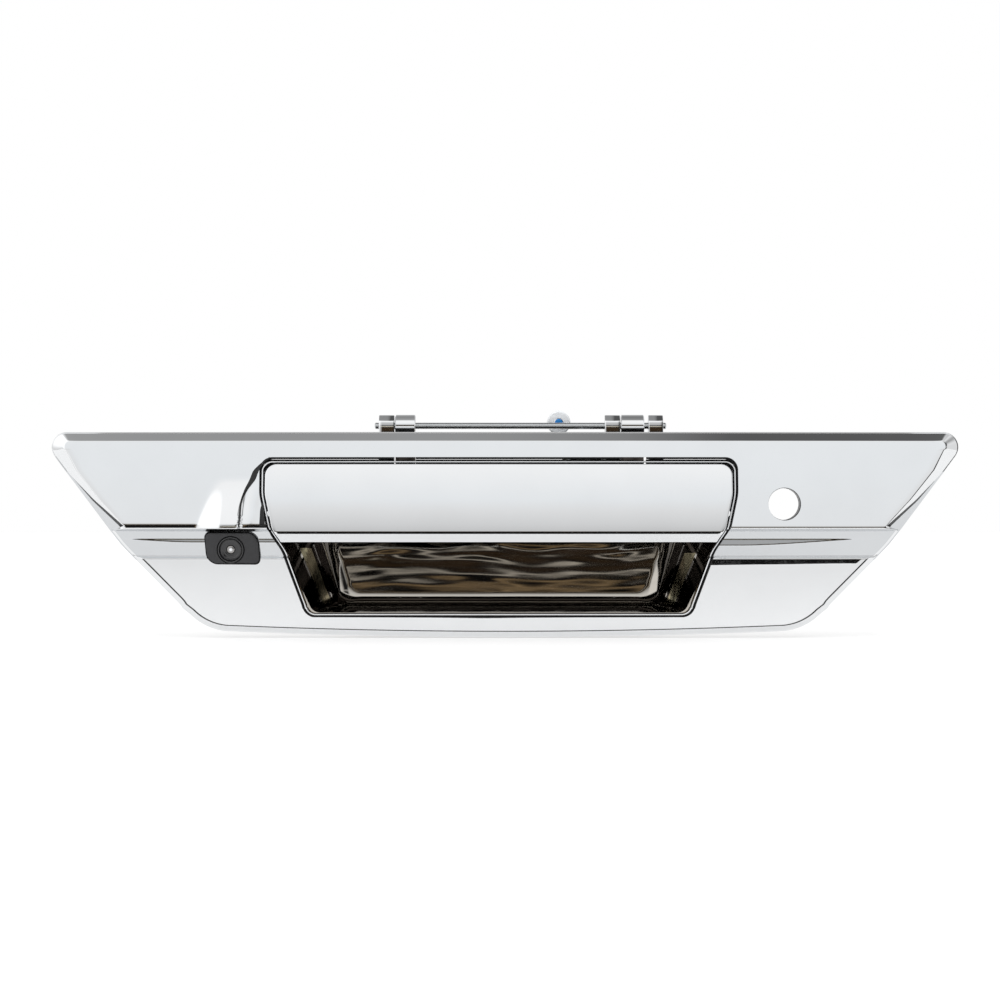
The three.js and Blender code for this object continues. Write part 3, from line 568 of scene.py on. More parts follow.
def outline_normals(outline):
    """Unit normals of a closed outline, averaged over nine neighbours so that they turn softly."""
    tangent = np.roll(outline, -1, axis=0) - np.roll(outline, 1, axis=0)
    normal = np.stack([-tangent[:, 1], tangent[:, 0]], 1)
    normal /= np.linalg.norm(normal, axis=1, keepdims=True) + 1e-9
    normal = np.mean([np.roll(normal, shift, axis=0) for shift in range(-4, 5)], axis=0)
    return normal / np.linalg.norm(normal, axis=1, keepdims=True)


def rim_outline():
    """Where the bezel's front meets its chamfer, 6 mm inside the silhouette along the ends."""
    return full_outline(half_outline(
        -0.6, (240.2, -3.6, 3, -37.7), lambda z: outer_side(z) - 6.0,
        (150, -73.6, 28.5, -44.2), -104.8, 2.7))


def camera_outline(inset, steps=10):
    """The camera's face: two corners on one diagonal are rounder than the other two."""
    w, h = CAMERA_HALF_WIDTH - inset, CAMERA_HALF_HEIGHT - inset
    soft, tight = 6.0 - inset / 2, 3.0 - inset / 2
    outline = np.concatenate([
        arc(w - soft, h - soft, soft, 90, 0, steps), arc(w - tight, -h + tight, tight, 0, -90, steps),
        arc(-w + soft, -h + soft, soft, -90, -180, steps), arc(-w + tight, h - tight, tight, 180, 90, steps)])
    outline[:, 0] += 0.3 - 0.08 * outline[:, 1]
    return outline


def ribbon(shape, path, width, lift=0.05):
    """A strip on the bezel's front: centre line x(z) and width(z) between given heights."""
    z = np.linspace(path[0][1], path[-1][1], 90)[:, None]
    heights = [p[1] for p in path]
    middle = soft_table(z, heights, [p[0] for p in path], 1.2)
    wide = soft_table(z, heights, width, 1.2)
    x = middle + wide * np.linspace(-0.5, 0.5, 7)
    z = np.broadcast_to(z, x.shape)
    front = np.stack([x, face_y(x, z) - lift, z], -1)
    back = front + (0.0, 0.5, 0.0)
    shape.grid(np.concatenate([front, back[:, ::-1]], axis=1), cap=True)


def make_hood_painted_shade():
    """Two near-black strips along the creases on the right side of the camera hood: painted shade and painted
    dark reflection.
    """
    shape = Shape()
    crease = [(-128.9, -9.6), (-133.6, -13.0), (-136.6, -17.0), (-138.4, -22.0), (-141.6, -27.0),
              (-143.8, -32.0), (-144.6, -36.0), (-145.2, -48.2)]
    ribbon(shape, crease, [0.5, 1.2, 3.2, 3.3, 2.0, 1.1, 0.9, 0.9])
    ribbon(shape, [(-132.3, -33.0), (-133.0, -38.0), (-132.8, -47.6)], [0.15, 2.0, 3.2])
    piece("hood_edge_seams", shape, SEAL_AND_SHADE_BLACK, [])


def make_bezel():
    """The chrome shell with the key hole and camera pocket cut, its bosses and posts, and a dark sleeve."""
    shape = Shape()
    rows, marks = bezel_sections()
    shape.grid(rows.transpose(1, 0, 2), wrap_rows=True, marks=marks)
    bezel = piece("chrome_bezel", shape, (CHROME, SEAL_AND_SHADE_BLACK, SHADED_BELT_CHROME, FADED_LOW_CHROME), ["bezel"])
    key_face = float(face_y(KEY_X, KEY_Z))
    key_cut = lathe(Shape(), KEY_X, KEY_Z, [(0, -40), (KEY_R, -40), (KEY_R, 5), (0, 5)], 96)
    pocket = plate(Shape(), camera_outline(-0.5), -10, 14, 0.1, place=turn_camera)
    cut_with(bezel, [key_cut, pocket])
    bore, front = KEY_R - 0.25, key_face + 1.9
    sleeve = [(bore, front), (KEY_R + 0.9, front), (KEY_R + 1.6, -4.2), (KEY_R + 1.3, -4), (bore, -4),
              (bore, front)]
    piece("key_barrel_sleeve", lathe(Shape(), KEY_X, KEY_Z, sleeve, 96), CAMERA_BLACK, [])
    inside = Shape()
    for x, z in STUDS:
        top = face_y(x, z) + 1.7
        boss = [(0, top), (7, top), (7, -0.6), (6.7, -0.3), (3.4, -0.3), (3.4, top + 3), (0, top + 3)]
        lathe(inside, x, z, boss, 48)
    for x, z in FRAME_SCREWS:
        top = face_y(x, z) + 1.2
        end = PANEL_FRONT - 0.4
        boss = [(0, top), (4.2, top), (4.2, end), (1.6, end), (1.6, top + 2.4), (0, top + 2.4)]
        lathe(inside, x, z, boss, 40)
    for x, z in BRACKET_SCREWS:
        boss = [(0, 5.6), (3, 5.6), (3, 20.7), (2.7, 21), (1.6, 21), (1.6, 8), (0, 8)]
        post = lathe(Shape(), x, z, boss, 32)
        inside.grid(turn_camera(post.points[0].reshape(32, -1, 3)), wrap_rows=True, wrap_columns=False)
    join(bezel, inside)


def join(target, shape):
    """Adds a shape to an object's mesh."""
    extra = add_object("extra", shape.mesh("extra"))
    extra.data.materials.append(target.data.materials[0])
    with bpy.context.temp_override(active_object=target, object=target,
                                   selected_editable_objects=[target, extra],
                                   selected_objects=[target, extra]):
        bpy.ops.object.join()


# ---- handle frame -----------------------------------------------------------------------------
def bead_sections():
    """The bright bead round paddle and cup: a half-round ridge on a wall that runs back to the panel."""
    outer, inner = opening_outline(1.0), opening_outline(2.1)
    for edge in (outer, inner):
        edge[:, 1] -= 1.0 * step(edge[:, 1], -24.0, -13.0)
    middle = (outer + inner) / 2
    depth = face_y(outer[:, 0], outer[:, 1])
    rows = [at_depth(outer, PANEL_BACK)]
    for angle in np.radians(np.linspace(0, 180, 13)):
        flat = middle + (outer - inner) / 2 * math.cos(angle)
        rows.append(at_depth(flat, depth + 0.3 - 1.0 * math.sin(angle)))
    rows.append(at_depth(inner, PANEL_BACK))
    return np.array(rows)


def cup_contour(y, top, bottom, half_top, half_bottom, radius):
    """A section of the hand cup: a trapezoid with rounded corners, at a given depth."""
    slope = math.degrees(math.atan2(half_top - half_bottom, top - bottom))
    upper = arc(half_top - radius, top - radius, radius, 90, -slope, 8)
    lower = arc(half_bottom - radius, bottom + radius, radius, -slope, -90, 12)
    side = upper[-1] + (lower[0] - upper[-1]) * np.linspace(0, 1, 14)[1:-1, None]
    across = np.linspace(1, 0, 30)[:, None]
    ceiling = np.array([[0.0, top]]) + (upper[0] - (0.0, top)) * across[::-1]
    floor = np.array([[0.0, bottom]]) + (lower[-1] - (0.0, bottom)) * across
    right = np.concatenate([ceiling[1:-1], upper, side, lower, floor[1:-1]])
    left = right[::-1] * (-1, 1)
    flat = np.concatenate([[(0.0, top)], right, [(0.0, bottom)], left]) + (OPEN_X, 0)
    return at_depth(flat, y)


CUP_MOUTH = dict(top=-41.0, bottom=-95.1, half_top=125.0, half_bottom=104.5, radius=6.0)
CUP_FLOOR = dict(top=-43.0, bottom=-91.0, half_top=97.0, half_bottom=89.0, radius=9.0)


def cup_skin(grow, front, back):
    """The cup's wall from mouth to back, with a round into the back wall, which closes on a
    line across its middle and carries a slight ripple. The lower part of the back wall lies forward."""
    rows = []
    corner = CUP_ROUND
    depths = np.concatenate([np.linspace(front, back - corner, 40), back - corner + corner * np.sin(
        np.radians(np.linspace(0, 90, 10))[1:])])
    for y in depths:
        t = (y - front) / (back - front)
        inset = corner - math.sqrt(max(corner ** 2 - max(y - (back - corner), 0.0) ** 2, 0.0))
        size = {key: CUP_MOUTH[key] + (CUP_FLOOR[key] - CUP_MOUTH[key]) * t for key in CUP_MOUTH}
        size = dict(top=size["top"] + grow - inset, bottom=size["bottom"] - grow + inset,
                    half_top=size["half_top"] + grow - inset, half_bottom=size["half_bottom"] + grow - inset,
                    radius=max(size["radius"] + grow - inset * 0.4, 2.0))
        rows.append(cup_contour(y, **size))
    last = rows[-1]
    spine = last.copy()
    spine[:, 0] = np.clip(last[:, 0], OPEN_X - 66, OPEN_X + 66)
    spine[:, 2] = -64.0
    for t in np.linspace(0, 1, 26)[1:]:
        rows.append(last + (spine - last) * t)
    points = np.array(rows)
    x, y, z = points[..., 0], points[..., 1], points[..., 2]
    far = step(y, back - 12.0, back)
    heights = np.linspace(-42.0, -92.0, 200)
    slopes = table(heights, (-44, -50, -63, -68, -71, -83, -92),
                   (0.030, 0.038, 0.040, 0.056, 0.050, 0.026, 0.022))
    lean = -table(z, heights, np.cumsum(slopes) * 50.0 / 199)
    waves = 1.0 - 0.6 * step(-z, 64.0, 70.0)
    fine = 0.008 * np.sin(z * 1.25 + 2.6 * np.sin(x * 0.047) + 1.1 * np.sin(x * 0.13))
    broad = 0.022 * np.sin(z * 0.62 + 2.1 * np.sin(x * 0.031 + 1.0))
    ripple = waves * (fine + broad + 0.02 * np.sin(x * 0.16 + z * 0.3))
    points[..., 1] = y + far * (lean + ripple)
    return points


def make_frame():
    """The inner moulding: bead, black flange and panel behind the paddle whose black paints the shade in the
    gaps, hand cup and pin ears.
    """
    bead = Shape()
    bead.grid(bead_sections().transpose(1, 0, 2), wrap_rows=True)
    ring = piece("bright_bead", bead, CHROME, [])
    slots = []
    for low, high in BARRELS:
        left, right = low - ARM_GAP, high + ARM_GAP
        corners = [(left, -14.5), (right, -14.5), (right, -5), (left, -5)]
        slots.append(plate(Shape(), corners, -13.6, 1, 0.01))
    cut_with(ring, slots)
    wide, close = opening_outline(-2.0), opening_outline(1.0)
    corners = ((wide, -7.0), (close, -7.0), (close, -5.2), (wide, -5.2))
    section = np.array([at_depth(flat, y) for flat, y in corners])
    flange = Shape().grid(section.transpose(1, 0, 2), wrap_rows=True)
    # the flange is black to paint the shade in the gap beside the bead
    cut_with(piece("bead_flange", flange, CAMERA_BLACK, []), slots)
    panel = Shape()
    edge = 128.8
    spans = [(OPEN_X - edge, BARRELS[0][0] - 0.4), (BARRELS[0][1] + 0.4, BARRELS[1][0] - 0.4),
             (BARRELS[1][1] + 0.4, OPEN_X + edge)]
    for low, high in spans:
        trim_low = 1.5 if low < -100 else 0
        trim_high = 1.5 if high > 100 else 0
        plate(panel, [(low, -10.8), (low, -30), (low + trim_low, -39), (high - trim_high, -39), (high, -30),
                      (high, -10.8)], PANEL_FRONT, PANEL_BACK, 0.15)
    for x, z in FRAME_SCREWS:
        towards = 1 if x < OPEN_X else -1
        tab = rounded([(x - towards * 5, z - 5), (x + towards * 14, z - 5), (x + towards * 14, z + 5),
                       (x - towards * 5, z + 5)], 3.0, 5, closed=True)
        plate(panel, tab, -5.8, PANEL_BACK, 0.3)
    # the panel is black to paint the shade in the recess behind the paddle
    piece("recess_panel", panel, CAMERA_BLACK, [])
    shape = Shape()
    inner = cup_skin(0.0, PANEL_FRONT, CUP_BACK)
    rows = np.concatenate([cup_skin(CUP_WALL, PANEL_FRONT, CUP_BACK + CUP_WALL)[::-1], inner])
    marks = np.zeros((len(rows) - 1, rows.shape[1]))
    depth, across, height = rows[:-1, :, 1], np.abs(rows[:-1, :, 0] - OPEN_X), rows[:-1, :, 2]
    inside = (np.arange(len(rows) - 1) >= len(inner))[:, None]
    at_side = across > 111.0 + 0.38 * (height + 41.0) - 0.62 * (depth + 6.0) - 2.0
    # painted light in the cup: inner walls nearer than depth 24.5 take near-black painted shade, a band low
    # on each side a bronze painted reflection, two thin lines on each side plain chrome as painted
    # highlights; the rest takes chrome darkened as painted shade
    dark, bronze_reflection, bright = 1, 2, 3
    marks[inside & (depth < 24.5)] = dark
    streak = inside & at_side & (height < -60.0) & (height > -91.0)
    marks[streak & (depth > 7.0) & (depth < 15.5)] = bronze_reflection
    marks[inside & at_side & (depth > 5.6) & (depth < 6.6)] = bright
    marks[inside & at_side & (depth > 17.5) & (depth < 18.6)] = bright
    shape.grid(rows, marks=marks)
    piece("hand_cup", shape, (SHADED_CUP_CHROME, RECESS_SHADE_CHROME, PAINTED_BRONZE_REFLECTION, CHROME), ["handle_frame"], sharp=38.0)
    ears = Shape()
    for low, high in EARS:
        plate(ears, ear_outline(), low, high, 0.45, axis="x")
    lathe(ears, CRANK_X, CRANK_Z - 1.5, [(0, PANEL_BACK - 1), (5.6, PANEL_BACK - 1), (5.6, CRANK_FRONT - 1.6),
                                         (5.2, CRANK_FRONT - 1.2), (0, CRANK_FRONT - 1.2)], 48)
    piece("pin_ears", ears, CHROME, [])


def ear_outline():
    """Side view of a pin ear: a round-cornered eight-sided head on a leg that runs down to the panel."""
    head = [(PIN_Y + EAR_R * 1.06 * math.cos(a), PIN_Z + EAR_R * 1.0 * math.sin(a))
            for a in np.radians(np.arange(200.6, -40, -45))]
    leg = [(16.0, -2), (9, -30), (6, -36), (-5, -36), (-5, -13.5), (2.6, -7.5), (3.4, 0)]
    return rounded(np.array(head + leg), 0.9, 3, closed=True)


# ---- paddle ---------------------------------------------------------------------------------------
def paddle_half(z):
    """Half width of the paddle at a height, with its two upper corners rounded by arcs."""
    down = np.clip(PADDLE_TOP - np.asarray(z, float), 0.0, PADDLE_CORNER)
    return soft_table(z, (-12.7, -30, -49, -55.7), (127.4, 127.4, 123.3, 118.6), 2.0) - (
        PADDLE_CORNER - np.sqrt(PADDLE_CORNER ** 2 - (PADDLE_CORNER - down) ** 2))


def make_paddle_cover():
    """The paddle's skin: a front that follows its profile across the width, a rolled edge all round,
    and side walls that run back to the hollow behind."""
    across = np.linspace(-1, 1, 131)
    round_top = PADDLE_TOP - 0.02 - PADDLE_CORNER * (1 - np.cos(np.radians(np.linspace(0, 90, 14))))
    heights = np.concatenate([
        round_top, np.linspace(PADDLE_TOP - PADDLE_CORNER - 0.6, PADDLE_LIP, 34),
        np.linspace(PADDLE_LIP - 0.3, -52.9, 15), np.linspace(-53.2, PADDLE_BOTTOM, 12)])
    x = OPEN_X + paddle_half(heights)[:, None] * across
    z = np.broadcast_to(heights[:, None], x.shape)
    front = np.stack([x, paddle_y(x, z), z], -1)
    border = np.concatenate([front[0], front[1:-1, -1], front[-1][::-1], front[1:-1, 0][::-1]])
    out = border[:, ::2] - (OPEN_X, -34.0)
    tangent = np.roll(border, -1, axis=0) - np.roll(border, 1, axis=0)
    normal = np.stack([tangent[:, 2], -tangent[:, 0]], 1)
    normal /= np.linalg.norm(normal, axis=1, keepdims=True)
    facing = np.sign(np.sum(normal * out, axis=1, keepdims=True))
    normal *= np.where(facing == 0, 1, facing)
    rows = [border]
    for angle in np.radians(np.linspace(0, 90, 7))[1:]:
        flat = border.copy()
        flat[:, ::2] += normal * PADDLE_ROLL * math.sin(angle)
        flat[:, 1] += PADDLE_ROLL * (1 - math.cos(angle))
        rows.append(flat)
    side = rows[-1].copy()
    side[:, 1] = np.minimum(side[:, 1] + 2.2, -14.4 + bow(side[:, 0]))
    side[:, 1] = np.where(side[:, 2] < -20, -14.2 + bow(side[:, 0]), side[:, 1])
    rim = side.copy()
    rim[:, ::2] -= normal * 2.0
    ceiling = rim.copy()
    ceiling[:, 1] = np.minimum(paddle_y(rim[:, 0], rim[:, 2]) + PADDLE_SKIN, rim[:, 1] - 0.05)
    shape = Shape()
    shape.grid(front, wrap_columns=False)
    shape.grid(np.array([*rows, side, rim, ceiling]))
    inner_z = np.clip(heights, -53.4, -14.9)
    inner_x = OPEN_X + (paddle_half(heights)[:, None] - 2.0) * across
    inner_z = np.broadcast_to(inner_z[:, None], x.shape)
    back = np.stack([inner_x, paddle_y(inner_x, inner_z) + PADDLE_SKIN, inner_z], -1)
    shape.grid(back, wrap_columns=False)
    piece("paddle_face", shape, CHROME, ["paddle_cover"], body="paddle")


def make_paddle_inner():
    """The paddle's backing sheet, its two arms with their barrels and pads, and the crank's finger."""
    shape = Shape()
    heights = np.linspace(-17.5, -53.0, 30)
    across = np.linspace(-1, 1, 41)
    x = OPEN_X + (paddle_half(heights)[:, None] - 2.7) * across
    z = np.broadcast_to(heights[:, None], x.shape)
    front = np.stack([x, paddle_y(x, z) + 2.6, z], -1)
    back = front.copy()
    back[..., 1] = front[..., 1] + 0.6 + 1.6 * step(-z, 17.0, 22.0)
    ring = [np.concatenate([row_front, row_back[::-1]]) for row_front, row_back in zip(front, back)]
    shape.grid(np.array(ring), cap=True)
    for low, high in BARRELS:
        arm = rounded([(9, 4), (9.1, -8), (4, -16), (1.2, -20), (1, -24.4), (-16.5, -24.6), (-18.9, -36.4),
                       (5, -36.4), (9.5, -29), (15.4, -8), (16, 4)], 1.2, 4, closed=True)
        start = len(shape.marks)
        plate(shape, arm, low + 0.1, high - 0.1, 0.4, axis="x")
        # the arm plates take near-black chrome: painted shade behind the paddle
        shape.marks[start:] = [1] * (len(shape.marks) - start)
        bore = PIN_R + 0.25
        lathe(shape, 0, 0, [(bore, low), (BARREL_R - 0.5, low), (BARREL_R, low + 0.5), (BARREL_R, high - 0.5),
                            (BARREL_R - 0.5, high), (bore, high), (bore, low)], 72, along_x=(PIN_Y, PIN_Z))
        pad = rounded([(low - 3, -36), (high + 3, -36), (high + 3, -24.6), (low - 3, -24.6)], 2, 4,
                      closed=True)
        plate(shape, pad, -16.5, -14, 0.4)
    finger = rounded([(11, 5.1), (31, 5.1), (31, 11.1), (11, 11.1)], 1.6, 5, closed=True)
    plate(shape, finger, 64.9, 69.6, 0.5, axis="x")
    piece("paddle_arms_and_barrels", shape, (CHROME, RECESS_SHADE_CHROME), ["paddle_inner"], body="paddle")


# ---- hardware behind ----------------------------------------------------------------------------------
def make_pin():
    """The hinge pin: a bar turned about its own axis, with chamfered ends."""
    start, end, tip = -72.4, 89.6, PIN_R - 0.5
    profile = [(0, start), (tip, start), (PIN_R, start + 0.5), (PIN_R, end - 0.5), (tip, end), (0, end)]
    shape = lathe(Shape(), 0, 0, profile, 48, along_x=(PIN_Y, PIN_Z))
    piece("steel_hinge_pin", shape, PIN_STEEL, ["hinge_pin"])


def make_gasket():
    """A foam ring along the outline, with its four long edges rounded."""
    outer, inner = outer_outline(0.6), outer_outline(8.0)
    ring = [at_depth(flat, depth) for flat, depth in
            ((outer, -1.65), (outer, -0.02), (inner, -0.02), (inner, -1.65))]
    controls = [ring[3], ring[0], ring[1], ring[2], ring[3], ring[0]]
    rows = rounded_sections(controls, (0, 0.35, 0.35, 0.35, 0.35, 0), 3)[1:-1]
    piece("foam_gasket", Shape().grid(rows.transpose(1, 0, 2), wrap_rows=True), FOAM, ["panel_gasket"])


def screw_shape(x, z, head_at, tip, shank, head, height, place=None):
    """A pan-head screw with a cross recess: the turned body's head dips inside a plus-shaped area."""
    away = math.copysign(1, head_at - tip)
    top = head_at + away * height
    profile = rounded([(0, tip), (shank * 0.6, tip), (shank, tip + away * 1.0), (shank, head_at),
                       (head, head_at),
                       (head, head_at + away * height * 0.55), (head * 0.62, top), (0, top)], 0.35, 3)
    crown = np.stack([np.linspace(profile[-2][0], 0, 16), np.full(16, top)], 1)
    dense = np.concatenate([profile[:-1], crown])
    shape = lathe(Shape(), x, z, dense, 72)
    points = shape.points[0].reshape(72, -1, 3)
    u, w = np.abs(points[..., 0] - x), np.abs(points[..., 2] - z)
    cross = np.maximum(step(-u, -0.75, -0.45) * step(-w, -head * 0.58, -head * 0.5),
                       step(-w, -0.75, -0.45) * step(-u, -head * 0.58, -head * 0.5))
    on_top = np.abs(points[..., 1] - top) < 0.25 * height
    points[..., 1] -= away * 0.5 * height * cross * on_top
    shape.points[0] = (place(points) if place else points).reshape(-1, 3)
    return shape


def make_fasteners():
    """Screws, studs and the crank's washer. A stud's thread is a zigzag in its turned profile."""
    for k, (x, z) in enumerate(FRAME_SCREWS, 1):
        tip = max(face_y(x, z) + 3.8, -11)
        piece(f"frame_screw_{k}_finished", screw_shape(x, z, PANEL_BACK + 0.3, tip, 1.3, 3.4, 2.2), ZINC,
              [f"frame_screw_{k}"])
    for k, (x, z) in enumerate(STUDS, 1):
        root = face_y(x, z) + 4.4
        turns = np.arange(root + 6, 16.8, 0.5)
        thread = np.stack([np.where(np.arange(len(turns)) % 2 == 0, 3.0, 2.62), turns], 1)
        profile = np.concatenate([[(0, root), (3, root)], thread, [(2.4, 17.9), (0, 17.9)]])
        piece(f"threaded_stud_{k}", lathe(Shape(), x, z, profile, 48), ZINC, [f"mounting_stud_{k}"])
    for k, (x, z) in enumerate(BRACKET_SCREWS, 1):
        piece(f"camera_screw_{k}_finished", screw_shape(x, z, 23.3, 12, 1.3, 2.7, 1.8, turn_camera), ZINC,
              [f"camera_screw_{k}"])
    head = CRANK_FRONT + CRANK_THICK + 2.7
    piece("crank_bolt", screw_shape(CRANK_X, CRANK_Z, head, 10, 1.8, 4.6, 2.8), ZINC, ["crank_screw"])
    y0 = CRANK_FRONT + CRANK_THICK + 1.1
    piece("crank_flat_washer", lathe(Shape(), CRANK_X, CRANK_Z, tube_profile(2.4, 7.5, y0, y0 + 1.2), 56),
          ZINC, ["crank_washer"])


def make_crank():
    """The bell crank: arms and eyes as rounded plates of one thickness."""
    shape = Shape()
    y0, y1 = CRANK_FRONT, CRANK_FRONT + CRANK_THICK
    arms = ([(46, -20), (71.5, -4), (71.5, 4.4), (62.5, 4.4), (40, -3)],
            [(36, -15), (26.1, -3), (26.1, 10.2), (34.1, 10.2), (34.1, 2), (50, -3)],
            [(39, -17), (52, -27), (60, -26), (53, -12)])
    for arm in arms:
        plate(shape, rounded(arm, 2.2, 4, closed=True), y0, y1, 0.25)
    for (x, z), inner, outer in ((UPPER_CLIP, 3.1, 5.4), (LOWER_CLIP, 3.1, 5.6),
                                 ((CRANK_X, CRANK_Z), 4.6, 10.0)):
        lathe(shape, x, z, tube_profile(inner, outer, y0, y1, 0.25), 56)
    piece("bell_crank", shape, ZINC, ["release_crank"], body="crank")
    b0, b1 = CRANK_FRONT - 0.4, CRANK_FRONT + CRANK_THICK + 0.8
    piece("bronze_bush", lathe(Shape(), CRANK_X, CRANK_Z, tube_profile(2.4, 4.3, b0, b1), 48), BRONZE,
          ["crank_bush"], body="crank")


def make_spring():
    """A round wire carried along a helix of four and a half turns."""
    turns = np.linspace(0, SPRING_TURNS * 2 * math.pi, 260)
    y = np.linspace(SPRING_FRONT, SPRING_BACK, len(turns))
    path = np.stack([CRANK_X + SPRING_RADIUS * np.cos(turns), y, CRANK_Z + SPRING_RADIUS * np.sin(turns)], 1)
    outward = np.stack([np.cos(turns), np.zeros_like(turns), np.sin(turns)], 1)
    angle = np.linspace(0, 2 * math.pi, 14, endpoint=False)
    ring = path[:, None] + SPRING_WIRE * (np.cos(angle)[None, :, None] * outward[:, None] +
                                          np.sin(angle)[None, :, None] *
                                  np.array([0.0, 1.0, 0.0]))
    piece("return_spring", Shape().grid(ring, cap=True), PIN_STEEL, ["crank_spring"])


def make_clips():
    """The two rod clips, each a turned nylon grommet with a blue locking peg in it."""
    for label, (x, z) in (("upper", UPPER_CLIP), ("lower", LOWER_CLIP)):
        front, back = CRANK_FRONT - 4.4, CRANK_FRONT + CRANK_THICK
        profile = rounded([(2.5, front), (5.9, front), (6.6, front + 1.0), (6.6, CRANK_FRONT - 0.4),
                           (2.8, CRANK_FRONT - 0.4), (2.8, back + 0.4), (4.2, back + 0.4), (3.4, back + 3),
                           (2.5, back + 3), (2.5, front)], 0.3, 3)
        piece(f"{label}_nylon_clip", lathe(Shape(), x, z, profile, 56), NYLON, [f"{label}_rod_clip"],
              body="crank")
        lock = rounded([(0, CRANK_FRONT - 5), (1.9, CRANK_FRONT - 5), (2.2, CRANK_FRONT - 4.6), (2.2, 30),
                        (0, 30)], 0.2, 3)
        piece(f"{label}_blue_lock", lathe(Shape(), x, z, lock, 40), BLUE, [f"{label}_clip_lock"],
              body="crank")


def make_bumpers():
    """The paddle's rubber stops: turned buttons that taper towards the paddle."""
    for label, x in (("left", -104.0), ("right", 98.0)):
        tip = -12.3 + bow(x)
        profile = rounded([(0, -6.3), (4, -6.3), (4, -9.5), (3, tip), (0, tip)], 0.6, 4)
        piece(f"{label}_bumper", lathe(Shape(), x, -27.0, profile, 40), RUBBER, [f"paddle_bumper_{label}"])


# ---- camera ---------------------------------------------------------------------------------------------
def tilted_lathe(x, z, profile, sides=72):
    """A turned shape in the camera's own frame."""
    shape = lathe(Shape(), x, z, profile, sides)
    shape.points[0] = turn_camera(shape.points[0])
    return shape


def make_camera():
    """The camera: face with a bored hole, ring, cone, bright lens, hollow back, seal, outlet and strap."""
    shape = Shape()
    outline = camera_outline(0.0)
    bore = arc(LENS_X, LENS_Z, LENS_BORE, 90, -270, len(outline))[:-1]
    levels = [(outline, 9.0), (outline, 0.7), (camera_outline(0.2), 0.2), (camera_outline(0.6), 0.0)]
    rows = [at_depth(flat, y) for flat, y in levels]
    face = camera_outline(0.6)
    for t in np.linspace(0, 1, 10)[1:-1]:
        rows.append(at_depth(face + (bore - face) * t, 0.0))
    lens_middle = np.array([LENS_X, LENS_Z])
    inner = camera_outline(1.8)
    for flat, y in ((lens_middle + (bore - lens_middle) * 1.03, 0.0), (bore, 0.25), (bore, 2.2), (inner, 2.2),
                    (inner, 9.0)):
        rows.append(at_depth(flat, y))
    shape.grid(turn_camera(np.array(rows)), wrap_rows=True)
    piece("camera_face", shape, CAMERA_BLACK, ["camera_front_housing"])
    ring = [(6.25, -0.1), (6.5, -0.5), (6.9, -0.5), (7.2, -0.1), (7.2, 2.1), (6.25, 2.1), (6.25, -0.1)]
    piece("camera_lens_ring", tilted_lathe(LENS_X, LENS_Z, rounded(ring, 0.15, 3), 96), CAMERA_GLOSS,
          ["lens_ring"])
    cone = [(6.1, -0.25), (5.5, 0.5), (4.9, 0.55), (4.3, 1.0), (3.4, 1.05), (2.9, 1.25), (2.45, 1.2),
            (2.45, 1.8), (6.1, 1.8), (6.1, -0.25)]
    piece("camera_lens_cone", tilted_lathe(LENS_X, LENS_Z, rounded(cone, 0.12, 3), 96), CAMERA_GLOSS,
          ["lens_glass"])
    dome = [(r, 0.75 + 0.5 * (r / 2.0) ** 2) for r in np.linspace(0.95, 2.0, 9)]
    bright = [(0, 1.15), (0.85, 1.1), *dome, (2.0, 4), (0, 4)]
    piece("camera_bright_lens", tilted_lathe(LENS_X, LENS_Z, bright, 64), LENS_METAL, ["inner_lens"])
    pupil = [(0, 0.6), (0.55, 0.64), (0.9, 0.75), (0.95, 0.95), (0, 0.95)]
    piece("camera_pupil", tilted_lathe(LENS_X, LENS_Z, pupil, 40), NYLON, ["lens_barrel"])
    rear = Shape()
    plate(rear, camera_outline(0.3), 10.1, 21, 0.5, place=turn_camera)
    back = piece("camera_back", rear, CAMERA_BLACK, ["camera_rear_housing"])
    cut_with(back, [plate(Shape(), camera_outline(1.5), 9.5, 19.4, 0.2, place=turn_camera)])
    dress("sensor_board", BOARD)
    dress("image_sensor", CAMERA_GLOSS)
    seal = Shape()
    plate(seal, camera_outline(0.2), 9.3, 9.8, 0.15, place=turn_camera)
    wide, close = camera_outline(-0.48), camera_outline(-0.02)
    rows = [at_depth(flat, y) for flat, y in ((wide, 1.0), (close, 1.3), (close, 8.8), (wide, 8.8))]
    seal.grid(turn_camera(np.array(rows)), wrap_rows=True)
    piece("camera_gasket", seal, SEAL_AND_SHADE_BLACK, ["camera_seal"])
    gland = rounded([(1.6, 19.4), (2.6, 19.4), (2.6, 21.3), (3.6, 21.6), (3.2, 25), (1.6, 25), (1.6, 19.4)],
                    0.25, 3)
    piece("camera_cord_outlet", tilted_lathe(-8.4, 0, gland, 40), RUBBER, ["cable_gland"])
    strap = rounded([(-23, -5), (23, -5), (23, 4), (-23, 4)], 2.5, 5, closed=True)
    piece("camera_strap", plate(Shape(), strap, 21.4, 23, 0.3, place=turn_camera), ZINC, ["camera_bracket"])


# ---- studio ------------------------------------------------------------------------------------------------
def make_floor():
    """A plain lit table just under the handle's lowest point."""
    low = float(np.asarray(CAD_BOX)[0][2]) - 0.0006
    data = bpy.data.meshes.new("floor")
    data.from_pydata([(-3, -1.35, low), (3, -1.35, low), (3, 5, low), (-3, 5, low)], [], [(0, 1, 2, 3)])
    data.materials.append(FLOOR)
    add_object("floor", data)


